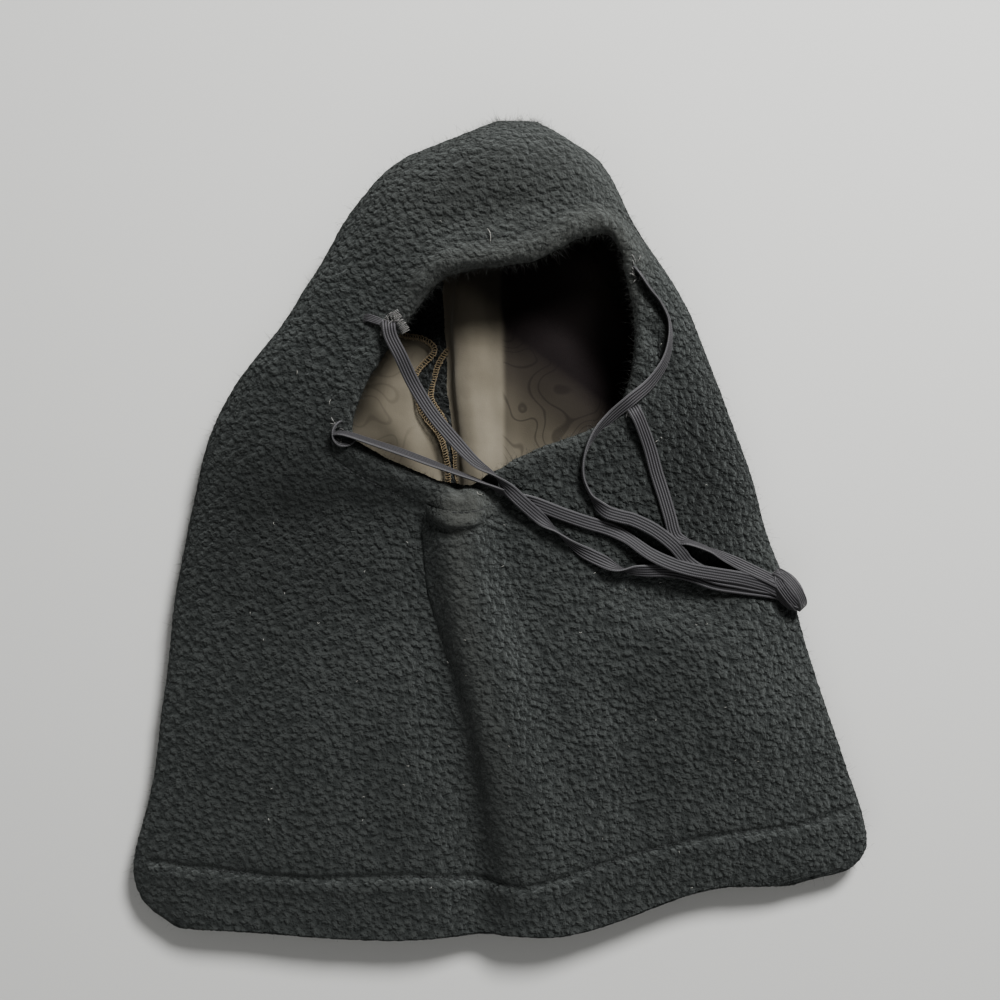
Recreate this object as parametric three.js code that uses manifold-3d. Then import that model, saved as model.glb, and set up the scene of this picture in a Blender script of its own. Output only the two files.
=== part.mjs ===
// Fleece balaclava lying on its back: two bonded halves of fleece and lining, a cased face opening with
// two flat elastics, and the elastics' four free legs tied in one knot.
// Millimetres. +Z up from the surface, +Y towards the crown, +X to the right as seen from above.
import * as THREE from 'three';
import { mergeVertices } from 'three/addons/utils/BufferGeometryUtils.js';
import Module from 'manifold-3d';

const wasm = await Module();
wasm.setup();

// ---- driving dimensions ----
const HOOD_LENGTH = 380;
const HEM_WIDTH = 342;
const FOLD_HEIGHT = 11;
const HEM_HEIGHT = 21;
const SKIRT_HEIGHT = 26;
const CHIN_HEIGHT = 32;
const BROW_HEIGHT = 60;
const CROWN_TIP_HEIGHT = 25;
const CROWN_ROUND = 41;
const NAPE_ROUND = 26;
const HEM_RISE = 20;
const HEM_RISE_FROM = 20;
const HEM_RISE_TO = 110;
const HEM_RISE_REACH = 150;
const RIDGE_HEIGHT = 7;
const RIDGE_WIDTH = 12;
const PLEAT_HEIGHT = 15;
const PLEAT_HALF_WIDTH = 10;

const FLEECE = 3;
const LINING = 1.2;
const GAP = 0.5;
const SEAM_GAP = 0.4;
const HEM_DEPTH = 23;
const HEM_TURN = 2.5;
const ALLOWANCE_WIDTH = 9;
const ALLOWANCE_THICKNESS = 2;
const OVERLOCK_WIDTH = 1.4;

const CASING_WIDTH = 14;
const CASING_THICKNESS = 7;
const CASING_EDGE = 1.7;
const CASING_STITCH_IN = 2;
const ELASTIC_WIDTH = 6.2;
const ELASTIC_THICKNESS = 1.2;
const TUNNEL_CLEARANCE = 0.7;
const ELASTIC_IN = CASING_EDGE + TUNNEL_CLEARANCE + ELASTIC_WIDTH / 2;
const TUNNEL_DEPTH = 3.6;
const SLIT_LENGTH = 10;
const SLIT_WIDTH = 4;
const STITCH_BORDER = 1.8;
const THREAD_GAP = 0.3;
const THREAD_STAND = 0.4;
const THREAD_WIDTH = 0.9;
const HEM_STITCH_ABOVE_FOLD = 2;
const LEG_RADIUS = 1.3;
const KNOT_SIZE = [9, 20, 10];
const KNOT_Y = -27;
const KNOT_BEYOND_EDGE = 1.8573;
const KNOT_ABOVE_FOLD = 9.5;

// ---- shape of the lying hood: shares of the length, hem 0 to crown 1, each with a value there ----
const LEFT_EDGE = [[0, -0.88], [0.023, -0.945], [0.045, -0.985], [0.075, -1.005], [0.168, -0.964],
  [0.292, -0.925], [0.403, -0.895], [0.502, -0.854], [0.614, -0.795], [0.682, -0.725], [0.738, -0.61],
  [0.799, -0.522], [0.883, -0.409], [0.941, -0.271], [0.97, -0.145], [1, -0.01]];
const RIGHT_EDGE = [[0, 0.82], [0.021, 0.965], [0.071, 1.005], [0.254, 0.905], [0.391, 0.826],
  [0.49, 0.744], [0.626, 0.645], [0.762, 0.523], [0.859, 0.385], [0.941, 0.271], [0.97, 0.19],
  [1, 0.1]];
const SEAM_LINE = [[0, 0.02], [0.1, 0.012], [0.29, -0.053], [0.42, -0.123], [0.555, -0.095], [0.6, -0.13],
  [0.66, -0.175], [0.74, -0.22], [0.84, -0.12], [0.93, 0], [1, 0.04]];
const PLEAT_LINE = [[0.42, 0], [0.56, -0.03], [0.72, -0.055], [0.8, -0.07]];
const CREST = [[0, HEM_HEIGHT], [0.1, HEM_HEIGHT + 1], [0.3, SKIRT_HEIGHT - 1], [0.42, SKIRT_HEIGHT],
  [0.52, CHIN_HEIGHT - 2], [0.57, CHIN_HEIGHT + 1], [0.68, 0.7 * BROW_HEIGHT], [0.8, 0.9 * BROW_HEIGHT],
  [0.893, BROW_HEIGHT]];
const SIDE_FOLD = [[0, FOLD_HEIGHT], [0.75, FOLD_HEIGHT], [0.86, FOLD_HEIGHT + 5], [0.96, CROWN_TIP_HEIGHT],
  [1, CROWN_TIP_HEIGHT]];
const RIDGE = [[0, 0.6], [0.3, 0.8], [0.44, 1], [0.5, 0.6], [0.55, 0]];
const PLEAT = [[0.42, 0.1], [0.5, 0.7], [0.6, 1], [0.7, 0.9], [0.8, 0.1]];
// Section of the pleat: shares of its half width and of its height, and how far its foot sinks in the lining.
const PLEAT_PROFILE = [[1, 0], [0.75, 0.2], [0.4, 0.8], [0.15, 1], [-0.15, 1], [-0.4, 0.8], [-0.75, 0.2],
  [-1, 0]];
const PLEAT_FOOT = LINING / 3;
const FRONT_FULLNESS = 0.7;
const BACK_FULLNESS = 0.35;
const BACK_PRESS = 1.5;

// Stations along the skirt and round the crown, and across the front and the back.
const SKIRT_STATIONS = [0, 0.02, 0.05, 0.1, 0.18, 0.27, 0.36, 0.44, 0.51, 0.57, 0.62, 0.675, 0.73, 0.79,
  0.845];
const CROWN_STATIONS = [0, 16, 32, 46, 59, 71, 85];
const PLEAT_STATIONS = [0.42, 0.46, 0.5, 0.54, 0.58, 0.62, 0.66, 0.7, 0.74, 0.78, 0.8];
const FRONT_STATIONS = [-1, -0.98, -0.92, -0.82, -0.68, -0.52, -0.36, -0.25, -0.18, -0.12, -0.06, 0, 0.06,
  0.14, 0.28, 0.45, 0.63, 0.8, 0.92, 0.98];
const BACK_STATIONS = [1, 0.97, 0.9, 0.75, 0.45, 0.15, -0.15, -0.45, -0.75, -0.9, -0.97];

// Edge of the face opening, anticlockwise from the left corner: [x, distance down from the crown].
const OPENING = [[-68, 145], [-48, 158], [-28, 167], [-16, 169], [-6, 164], [22, 150], [50, 138], [59, 113],
  [58, 83], [50, 59], [33, 60], [9, 69], [-20, 73], [-42, 95], [-60, 119]];
const OPENING_SAMPLES = 48;
const STRIP_SAMPLES = 38.4;

// Slits in the casing, each as a share of the way round the opening.
const SLITS = { upper_left: 0.878, lower_left: 0.994, lower_right: 0.421, upper_right: 0.556 };
// Cut between the brow casing and the chin casing: [x, distance down from the crown] at its two ends.
const CASING_SPLIT = [[-110, 114], [110, 104]];

// Free legs of the elastics, from slit to knot, as points chosen along the way each one lies.
const LEGS = {
  upper_left: [[-49.5, 94.6, 44.2], [-49.5, 94.6, 47.5], [-49.5, 92.5, 49.5], [-48.5, 87.5, 48.5],
    [-44.5, 79.5, 45.5], [-39, 67.5, 39.5], [-31, 54.5, 37], [-21, 42.5, 36.5], [-11.5, 32.5, 37],
    [-3.5, 27, 37], [2, 22, 38], [9, 15, 37], [18, 7, 33], [25.5, 1, 31], [36.5, -7.5, 29.5],
    [47, -13, 28.5], [55, -16.5, 28], [66.5, -17.5, 27.5], [77.5, -17.5, 26.5], [87.5, -19.5, 26],
    [99, -23.5, 24.5], [111, -25.5, 23.5], [122.5, -27, 22], [128, -28, 20.5], [133.2, -28.8, 19]],
  lower_left: [[-73.7, 45.7, 32.8], [-73.7, 45.7, 36], [-72, 45.5, 38], [-66.5, 44, 38], [-59, 41.5, 37],
    [-45.5, 37, 37], [-32, 32, 36.5], [-20, 27.5, 36], [-8, 23, 35.5], [4.5, 17.5, 34], [16, 13.5, 33],
    [27.5, 9, 32], [39, 5, 31], [50.5, 1.5, 30], [58.5, -2.5, 29.5], [68.5, -9.5, 30], [78, -14, 30],
    [88, -17, 29.5], [99, -19, 28], [111, -21, 26.5], [122.5, -24, 24.5], [128, -26.5, 23.4],
    [133.2, -28.8, 22.1]],
  upper_right: [[61.6, 117.5, 41], [61.6, 117.5, 44.5], [63, 115.5, 46.5], [67, 110, 44.5],
    [72.5, 104, 40.5], [76.5, 96.5, 37.5], [77, 87.5, 37], [74.5, 77.5, 37], [68, 68, 37.5],
    [59.5, 60.5, 40], [50.5, 53, 37.5], [43.5, 45.5, 36.5], [38.5, 35.5, 35.5], [38, 25.5, 33.5],
    [42, 16.5, 32.5], [48, 10, 34], [57, 7.5, 33.5], [66, 4.5, 31.5], [75, 0.5, 31], [82.5, -3.5, 30.5],
    [92, -7, 27], [102.5, -11, 25], [113.5, -15, 24], [122.5, -18.5, 24], [128, -22.5, 23.2],
    [133.2, -25.6, 22.1]],
  lower_right: [[60, 57, 33.5], [60, 57, 37], [61, 55, 39.5], [63.5, 50, 38.5], [68, 39, 34],
    [71.5, 27.5, 31], [75, 17, 29.5], [78, 7, 28.5], [80, -0.5, 27.5], [79, -7, 27], [81, -12.5, 26.5],
    [87.5, -15, 26], [97.5, -15.5, 25], [111, -17.5, 23.5], [122.5, -21, 21.5], [128, -23.5, 20.2],
    [133.2, -25.6, 19]],
};

// ---- fleece surface ----
function smoothAt(knots, at) {
  const last = knots.length - 1;
  const place = THREE.MathUtils.clamp(at, knots[0][0], knots[last][0]);
  let i = 0;
  while (i < last - 1 && place > knots[i + 1][0]) i += 1;
  const rise = (a, b) => (knots[b][1] - knots[a][1]) / (knots[b][0] - knots[a][0]);
  const slope = (k) => rise(Math.max(k - 1, 0), Math.min(k + 1, last));
  const span = knots[i + 1][0] - knots[i][0];
  const t = (place - knots[i][0]) / span;
  const rest = 1 - t;
  return rest * rest * ((1 + 2 * t) * knots[i][1] + t * span * slope(i))
    + t * t * ((1 + 2 * rest) * knots[i + 1][1] - rest * span * slope(i + 1));
}

const HEM_Y = -HOOD_LENGTH / 2;
const CROWN_Y = HOOD_LENGTH / 2;
const BROW_Y = CROWN_Y - CROWN_ROUND;
const NAPE_Y = CROWN_Y - NAPE_ROUND;
const shareOf = (y) => (y - HEM_Y) / HOOD_LENGTH;
const edgeX = (knots, y) => smoothAt(knots, shareOf(y)) * HEM_WIDTH / 2;

function hemLift(x, y) {
  const side = THREE.MathUtils.smoothstep(x, HEM_RISE_FROM, HEM_RISE_TO);
  return HEM_RISE * side * (1 - THREE.MathUtils.smoothstep(y, HEM_Y, HEM_Y + HEM_RISE_REACH));
}

function ridgeAt(x, y) {
  const away = (x - edgeX(SEAM_LINE, y)) / RIDGE_WIDTH;
  return RIDGE_HEIGHT * smoothAt(RIDGE, shareOf(y)) * Math.exp(-away * away);
}

// One station of the hood, inset from the outer face: its y, side edges, and crest, fold and back heights.
function station(y, inset, angle = 0) {
  const turn = THREE.MathUtils.degToRad(angle);
  const nape = Math.max(y - NAPE_Y, 0) / NAPE_ROUND;
  const napeShare = Math.sqrt(Math.max(1 - nape * nape, 0));
  const crest = angle > 0
    ? CROWN_TIP_HEIGHT + (BROW_HEIGHT - CROWN_TIP_HEIGHT - inset) * Math.cos(turn)
    : smoothAt(CREST, shareOf(y)) - inset;
  return {
    y: y - inset * Math.sin(turn),
    middle: (edgeX(LEFT_EDGE, y) + edgeX(RIGHT_EDGE, y)) / 2,
    half: (edgeX(RIGHT_EDGE, y) - edgeX(LEFT_EDGE, y)) / 2 - inset,
    crest,
    fold: smoothAt(SIDE_FOLD, shareOf(y)),
    back: CROWN_TIP_HEIGHT * (1 - napeShare) + inset * napeShare,
    nominalY: y,
  };
}

function frontPoint(at, share) {
  const x = at.middle + at.half * share;
  const bulge = Math.max(1 - share * share, 0) ** (FRONT_FULLNESS / 2);
  const z = at.fold + (at.crest - at.fold) * bulge + ridgeAt(x, at.nominalY) * bulge;
  return [x, at.y + hemLift(x, at.nominalY), z];
}

function backPoint(at, share) {
  const x = at.middle + at.half * share;
  const bulge = Math.max(1 - share * share, 0) ** (BACK_FULLNESS / 2);
  const z = Math.max(at.back, at.fold - (at.fold - at.back + BACK_PRESS) * bulge);
  return [x, at.y + hemLift(x, at.nominalY), z];
}

function frontHeight(x, y) {
  const at = station(Math.min(y, BROW_Y), 0);
  return frontPoint(at, THREE.MathUtils.clamp((x - at.middle) / at.half, -1, 1))[2];
}

// ---- solids ----
function toSolid(geometry) {
  const bare = geometry.index ? geometry.toNonIndexed() : geometry.clone();
  bare.deleteAttribute('normal');
  bare.deleteAttribute('uv');
  const merged = mergeVertices(bare, 1e-4);
  return new wasm.Manifold(new wasm.Mesh({
    numProp: 3,
    vertProperties: new Float32Array(merged.attributes.position.array),
    triVerts: new Uint32Array(merged.index.array),
  }));
}

function toGeometry(solid) {
  const mesh = solid.getMesh();
  const geometry = new THREE.BufferGeometry();
  geometry.setAttribute('position', new THREE.BufferAttribute(new Float32Array(mesh.vertProperties), 3));
  geometry.setIndex(new THREE.BufferAttribute(new Uint32Array(mesh.triVerts), 1));
  return geometry;
}

// Closed solid through rings of the same number of points, anticlockwise seen against the way they run.
function loftRings(rings) {
  const count = rings[0].length;
  const positions = rings.flat(2);
  const index = [];
  for (let r = 0; r < rings.length - 1; r += 1) {
    for (let i = 0; i < count; i += 1) {
      const a = r * count + i;
      const b = r * count + (i + 1) % count;
      index.push(a, b, b + count, a, b + count, a + count);
    }
  }
  const ends = [rings[0], rings[rings.length - 1]];
  ends.forEach((ring, end) => {
    const centre = [0, 1, 2].map((k) => ring.reduce((sum, p) => sum + p[k], 0) / count);
    const hub = positions.length / 3;
    positions.push(...centre);
    const first = end ? (rings.length - 1) * count : 0;
    for (let i = 0; i < count; i += 1) {
      const a = first + i;
      const b = first + (i + 1) % count;
      if (end) index.push(a, b, hub);
      else index.push(b, a, hub);
    }
  });
  const geometry = new THREE.BufferGeometry();
  geometry.setAttribute('position', new THREE.Float32BufferAttribute(positions, 3));
  geometry.setIndex(index);
  return geometry;
}

// The whole hood as one filled solid, inset from its outer face. A reach runs it out past the hem.
function hoodSolid(inset, reach = 0) {
  const ring = (at) => [
    ...FRONT_STATIONS.map((share) => frontPoint(at, share)),
    ...BACK_STATIONS.map((share) => backPoint(at, share)),
  ];
  const stations = [
    ...SKIRT_STATIONS.map((share) => station(HEM_Y + share * HOOD_LENGTH, inset)),
    ...CROWN_STATIONS.map((angle) => {
      const y = BROW_Y + CROWN_ROUND * Math.sin(THREE.MathUtils.degToRad(angle));
      return station(y, inset, angle);
    }),
  ];
  const rings = stations.map(ring);
  if (reach) rings.unshift(rings[0].map(([x, y, z]) => [x, y - reach, z]));
  return toSolid(loftRings(rings));
}

const layer = (outer, inner) => hoodSolid(outer).subtract(hoodSolid(inner, HEM_DEPTH));

function prism(points, low, high) {
  const shape = new THREE.Shape(points.map(([x, y]) => new THREE.Vector2(x, y)));
  const geometry = new THREE.ExtrudeGeometry(shape, { depth: high - low, bevelEnabled: false });
  return toSolid(geometry.translate(0, 0, low));
}

// ---- lines the cuts follow ----
const FLOOR_Z = -20;
const ABOVE_Z = 120;
const FRONT_ONLY_Z = 15;
const FAR = 400;
const PLAN_STEPS = 18;
const HEM_LINE_SPAN = 1.1 * HEM_WIDTH;

const openingCurve = new THREE.CatmullRomCurve3(
  OPENING.map(([x, down]) => new THREE.Vector3(x, CROWN_Y - down, 0)), true, 'centripetal');

// A point on the opening's edge, moved out into the fleece by a distance.
function besideOpening(share, out) {
  const wrapped = ((share % 1) + 1) % 1;
  const point = openingCurve.getPoint(wrapped);
  const tangent = openingCurve.getTangent(wrapped);
  return [point.x + tangent.y * out, point.y - tangent.x * out];
}

function openingOutline(out) {
  return Array.from({ length: OPENING_SAMPLES }, (_, i) => besideOpening(i / OPENING_SAMPLES, out));
}

function seamSide(offset, side) {
  const line = Array.from({ length: PLAN_STEPS + 1 }, (_, i) => {
    const y = HEM_Y + HOOD_LENGTH * i / PLAN_STEPS;
    return [edgeX(SEAM_LINE, y) + offset, y];
  });
  const start = [line[0][0], HEM_Y - FAR];
  const end = [line[PLAN_STEPS][0], FAR];
  const outline = [start, ...line, end, [side * FAR, FAR], [side * FAR, HEM_Y - FAR]];
  return prism(outline, FLOOR_Z, ABOVE_Z);
}

const leftOf = (offset) => seamSide(offset, -1);
const rightOf = (offset) => seamSide(offset, 1);

// Everything nearer the crown than a line that follows the hem, a distance up from it.
function aboveHem(distance) {
  const line = Array.from({ length: PLAN_STEPS + 1 }, (_, i) => {
    const x = HEM_LINE_SPAN * (i / PLAN_STEPS - 0.5);
    return [x, HEM_Y + distance + hemLift(x, HEM_Y + distance)];
  });
  const outline = [[-FAR, line[0][1]], ...line, [FAR, line[PLAN_STEPS][1]], [FAR, FAR], [-FAR, FAR]];
  return prism(outline, FLOOR_Z, ABOVE_Z);
}

const openingCut = (out) => prism(openingOutline(out), FRONT_ONLY_Z, ABOVE_Z);

// ---- fleece, lining and seams ----
function halves(sheet) {
  const half = SEAM_GAP / 2;
  return [sheet.intersect(leftOf(-half)), sheet.intersect(rightOf(half))];
}

const LINING_INSET = FLEECE + GAP;
const INSIDE = LINING_INSET + LINING;

function outerHalves() {
  return halves(layer(0, FLEECE).subtract(openingCut(CASING_WIDTH + GAP)));
}

// Fold of lining that stands up inside the hood, right of the back seam.
function standingPleat() {
  const base = INSIDE - LINING / 2;
  const rings = PLEAT_STATIONS.map((share) => {
    const middle = smoothAt(PLEAT_LINE, share) * HEM_WIDTH / 2;
    const height = PLEAT_HEIGHT * smoothAt(PLEAT, share);
    const y = HEM_Y + share * HOOD_LENGTH;
    const at = (across, z) => [middle + PLEAT_HALF_WIDTH * across, y, z];
    const upper = PLEAT_PROFILE.map(([across, up]) => at(across, base + LINING + height * up));
    return [at(1, base - PLEAT_FOOT), ...upper, at(-1, base - PLEAT_FOOT)];
  });
  return toSolid(loftRings(rings.map((ring) => ring.reverse())));
}

function liningHalves() {
  const sheet = layer(LINING_INSET, INSIDE)
    .subtract(openingCut(CASING_WIDTH + GAP))
    .intersect(aboveHem(HEM_DEPTH + GAP));
  const [left, right] = halves(sheet);
  const clearOfSeam = rightOf(SEAM_GAP + ALLOWANCE_WIDTH + OVERLOCK_WIDTH + 3 * GAP);
  return [left, right.add(standingPleat().intersect(clearOfSeam))];
}

const turnedHem = () => layer(LINING_INSET, LINING_INSET + HEM_TURN).subtract(aboveHem(HEM_DEPTH));

// Raw edges of the back seam, pressed open on the inside, each with its overlocked border.
function backSeam() {
  const top = INSIDE + GAP;
  const sheet = layer(top, top + ALLOWANCE_THICKNESS)
    .intersect(aboveHem(HEM_DEPTH + GAP))
    .intersect(prism([[-FAR, HEM_Y], [FAR, HEM_Y], [FAR, BROW_Y], [-FAR, BROW_Y]], 0, FOLD_HEIGHT));
  const strip = (from, to) => sheet.intersect(rightOf(from)).intersect(leftOf(to));
  const inner = SEAM_GAP;
  const outer = inner + ALLOWANCE_WIDTH;
  return {
    seam_allowance_left: strip(-outer, -inner),
    seam_allowance_right: strip(inner, outer),
    overlock_left: strip(-outer - GAP - OVERLOCK_WIDTH, -outer - GAP),
    overlock_right: strip(outer + GAP, outer + GAP + OVERLOCK_WIDTH),
  };
}

// ---- casing, slits and the elastic inside ----
function slitPrism(slit, border, low, high) {
  const [x, y] = besideOpening(slit, ELASTIC_IN);
  const along = openingCurve.getTangent((slit + 1) % 1);
  const radius = SLIT_WIDTH / 2 + border;
  const straight = (SLIT_LENGTH - SLIT_WIDTH) / 2;
  const shape = new THREE.Shape();
  shape.absarc(straight, 0, radius, -Math.PI / 2, Math.PI / 2, false);
  shape.absarc(-straight, 0, radius, Math.PI / 2, 3 * Math.PI / 2, false);
  const extent = { depth: high - low, bevelEnabled: false, curveSegments: 5 };
  const geometry = new THREE.ExtrudeGeometry(shape, extent);
  geometry.rotateZ(Math.atan2(along.y, along.x)).translate(x, y, frontHeight(x, y) + low);
  return toSolid(geometry);
}

// Flat strip that follows the casing between two shares of the way round, at a depth below its face.
// It lies on the chord across the tunnel, so a strip inside the tunnel clears its walls.
function casingStrip(from, to, width, thickness) {
  const steps = Math.ceil(Math.abs(to - from) * STRIP_SAMPLES);
  const reach = ELASTIC_WIDTH / 2 + TUNNEL_CLEARANCE;
  const rings = Array.from({ length: steps + 1 }, (_, i) => {
    const share = from + (to - from) * i / steps;
    const face = (across) => frontHeight(...besideOpening(share, ELASTIC_IN + across));
    const near = face(-reach);
    const far = face(reach);
    const corner = (across, depth) => {
      const chord = THREE.MathUtils.mapLinear(across, -reach, reach, near, far);
      return [...besideOpening(share, ELASTIC_IN + across), chord - depth];
    };
    const upper = TUNNEL_DEPTH - thickness / 2;
    const lower = TUNNEL_DEPTH + thickness / 2;
    const half = width / 2;
    return [corner(-half, upper), corner(half, upper), corner(half, lower), corner(-half, lower)];
  });
  return toSolid(loftRings(rings));
}

function casings() {
  const band = hoodSolid(0).subtract(hoodSolid(CASING_THICKNESS))
    .intersect(openingCut(CASING_WIDTH))
    .subtract(openingCut(0));
  const side = (far, shift) => {
    const cut = CASING_SPLIT.map(([x, down]) => [x, CROWN_Y - down + shift]);
    return prism([...cut, [FAR, far], [-FAR, far]], 0, ABOVE_Z);
  };
  const tunnelWidth = ELASTIC_WIDTH + 2 * TUNNEL_CLEARANCE;
  const tunnelHeight = ELASTIC_THICKNESS + TUNNEL_CLEARANCE;
  const tunnel = (from, to) => casingStrip(from, to, tunnelWidth, tunnelHeight);
  const hole = (slit) => slitPrism(slit, 0, -TUNNEL_DEPTH, CASING_THICKNESS);
  const cased = (piece, from, to) => piece.subtract(tunnel(from, to)).subtract(hole(from)).subtract(hole(to));
  return {
    brow_casing: cased(band.intersect(side(FAR, SEAM_GAP / 2)), SLITS.upper_right, SLITS.upper_left),
    chin_casing: cased(band.intersect(side(-FAR, -SEAM_GAP / 2)), SLITS.lower_left - 1, SLITS.lower_right),
  };
}

function casedElastics() {
  return {
    brow_elastic: casingStrip(SLITS.upper_right, SLITS.upper_left, ELASTIC_WIDTH, ELASTIC_THICKNESS),
    chin_elastic: casingStrip(SLITS.lower_left - 1, SLITS.lower_right, ELASTIC_WIDTH, ELASTIC_THICKNESS),
  };
}

// ---- threads on the face of the fleece ----
const threadLayer = () => hoodSolid(-THREAD_GAP - THREAD_STAND).subtract(hoodSolid(-THREAD_GAP));

function buttonhole(slit) {
  return threadLayer()
    .intersect(slitPrism(slit, STITCH_BORDER, -CASING_THICKNESS, CASING_THICKNESS))
    .subtract(slitPrism(slit, 0, -2 * CASING_THICKNESS, 2 * CASING_THICKNESS));
}

function casingStitching() {
  const out = CASING_WIDTH - CASING_STITCH_IN;
  const line = threadLayer().intersect(openingCut(out + THREAD_WIDTH)).subtract(openingCut(out));
  const clearOf = (piece, slit) => piece.subtract(
    slitPrism(slit, STITCH_BORDER + GAP, -2 * CASING_THICKNESS, 2 * CASING_THICKNESS));
  return Object.values(SLITS).reduce(clearOf, line);
}

function hemStitching() {
  const stitchFrom = FOLD_HEIGHT + HEM_STITCH_ABOVE_FOLD;
  return threadLayer()
    .intersect(aboveHem(HEM_DEPTH))
    .subtract(aboveHem(HEM_DEPTH + THREAD_WIDTH))
    .intersect(prism([[-FAR, -FAR], [FAR, -FAR], [FAR, FAR], [-FAR, FAR]], stitchFrom, ABOVE_Z));
}

// ---- free legs and knot ----
function legGeometry(points) {
  const stops = points.map((point) => new THREE.Vector3(...point));
  const path = new THREE.CatmullRomCurve3(stops, false, 'centripetal');
  const section = new THREE.Shape();
  section.absarc(0, 0, LEG_RADIUS, 0, 2 * Math.PI, false);
  const steps = Math.ceil(path.getLength() / (5 * LEG_RADIUS));
  return new THREE.ExtrudeGeometry(section, { steps, curveSegments: 4, extrudePath: path });
}

function knotGeometry() {
  const x = edgeX(RIGHT_EDGE, KNOT_Y) + KNOT_BEYOND_EDGE;
  const z = FOLD_HEIGHT + KNOT_ABOVE_FOLD;
  return new THREE.SphereGeometry(0.5, 12, 8).scale(...KNOT_SIZE).translate(x, KNOT_Y, z);
}

// ---- the balaclava ----
const FINISHES = {
  fleece: { color: 0x282c2b, roughness: 0.97 },
  lining: { color: 0x59564a, roughness: 0.85 },
  elastic: { color: 0x3b3a3e, roughness: 0.75 },
  overlock: { color: 0x6f644c, roughness: 0.8 },
  thread: { color: 0x6a6c6a, roughness: 0.8 },
};

const balaclava = new THREE.Group();

function addPiece(name, shape, finish) {
  const geometry = shape.isBufferGeometry ? shape : toGeometry(shape);
  const material = new THREE.MeshStandardMaterial({ ...FINISHES[finish], metalness: 0 });
  const mesh = new THREE.Mesh(geometry, material);
  mesh.name = name;
  balaclava.add(mesh);
}

const addPieces = (pieces, finish) => Object.entries(pieces)
  .forEach(([name, shape]) => addPiece(name, shape, finish(name)));

const [outerLeft, outerRight] = outerHalves();
const [liningLeft, liningRight] = liningHalves();
addPieces({ outer_fleece_left: outerLeft, outer_fleece_right: outerRight }, () => 'fleece');
addPieces({ lining_left: liningLeft, lining_right: liningRight }, () => 'lining');
addPieces(casings(), () => 'fleece');
addPiece('turned_hem', turnedHem(), 'fleece');
addPieces(backSeam(), (name) => (name.startsWith('overlock') ? 'overlock' : 'fleece'));
addPieces(casedElastics(), () => 'elastic');
Object.entries(SLITS).forEach(([name, slit]) => addPiece(`buttonhole_${name}`, buttonhole(slit), 'thread'));
addPiece('casing_stitching', casingStitching(), 'thread');
addPiece('hem_stitching', hemStitching(), 'thread');
Object.entries(LEGS)
  .forEach(([name, points]) => addPiece(`elastic_leg_${name}`, legGeometry(points), 'elastic'));
addPiece('elastic_knot', knotGeometry(), 'elastic');

export default balaclava;
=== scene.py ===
import math
import random

import bpy
import numpy as np
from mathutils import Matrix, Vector, noise


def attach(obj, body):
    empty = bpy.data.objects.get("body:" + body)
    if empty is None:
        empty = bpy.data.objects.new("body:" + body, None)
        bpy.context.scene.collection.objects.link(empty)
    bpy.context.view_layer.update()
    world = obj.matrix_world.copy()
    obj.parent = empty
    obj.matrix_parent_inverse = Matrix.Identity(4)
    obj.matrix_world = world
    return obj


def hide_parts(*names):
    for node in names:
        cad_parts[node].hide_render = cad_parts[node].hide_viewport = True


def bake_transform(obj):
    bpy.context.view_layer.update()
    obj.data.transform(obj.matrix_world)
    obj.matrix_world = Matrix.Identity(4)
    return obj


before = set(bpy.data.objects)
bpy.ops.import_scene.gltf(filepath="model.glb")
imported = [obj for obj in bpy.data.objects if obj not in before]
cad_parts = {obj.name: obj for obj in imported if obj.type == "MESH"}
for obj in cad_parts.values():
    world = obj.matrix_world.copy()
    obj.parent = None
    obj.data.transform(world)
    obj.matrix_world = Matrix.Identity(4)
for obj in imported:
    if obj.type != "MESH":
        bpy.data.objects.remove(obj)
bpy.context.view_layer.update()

mm = 0.001
noise.seed_set(4)     # without it the pile's tufts come out differently each run

# camera, straight above the hood
cameraSet = {"place": (0.0, 0.015, 0.700), "sensor": 36.0, "lens": 52.7}

cameraData = bpy.data.cameras.new("aboveCamera")
cameraData.sensor_width = cameraSet["sensor"]
cameraData.lens = cameraSet["lens"]
cameraData.clip_start = 0.01
cameraObject = bpy.data.objects.new("aboveCamera", cameraData)
cameraObject.location = cameraSet["place"]
bpy.context.collection.objects.link(cameraObject)
bpy.context.scene.camera = cameraObject
print("camera placed")


def newPiece(name, points, faces, material):
    mesh = bpy.data.meshes.new(name)
    mesh.from_pydata([tuple(p) for p in points], [], [tuple(f) for f in faces])
    mesh.validate()
    mesh.update()
    piece = bpy.data.objects.new(name, mesh)
    bpy.context.collection.objects.link(piece)
    mesh.materials.append(material)
    mesh.polygons.foreach_set("use_smooth", [True] * len(mesh.polygons))
    return piece


def giveValue(piece, name, values):
    layer = piece.data.attributes.new(name, "FLOAT", "POINT")
    layer.data.foreach_set("value", np.asarray(values, dtype=np.float32).ravel())


def smoothStep(v, low, high):
    t = np.clip((v - low) / (high - low), 0.0, 1.0)
    return t * t * (3 - 2 * t)


def runAlong(line):
    return np.concatenate([[0], np.cumsum(np.linalg.norm(np.diff(line, axis=0), axis=1))])


def spaced(line, run, at):
    return np.column_stack([np.interp(at, run, line[:, k]) for k in range(line.shape[1])])


# a soft curve from the second point up to the last but one
def softCurve(points, samples):
    fine = []
    for a, b, c, d in zip(points, points[1:], points[2:], points[3:]):
        for t in np.linspace(0, 1, samples, endpoint=False):
            fine.append(0.5 * (2 * b + (c - a) * t + (2 * a - 5 * b + 4 * c - d) * t * t
                               + (3 * b - a - 3 * c + d) * t ** 3))
    return fine


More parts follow.
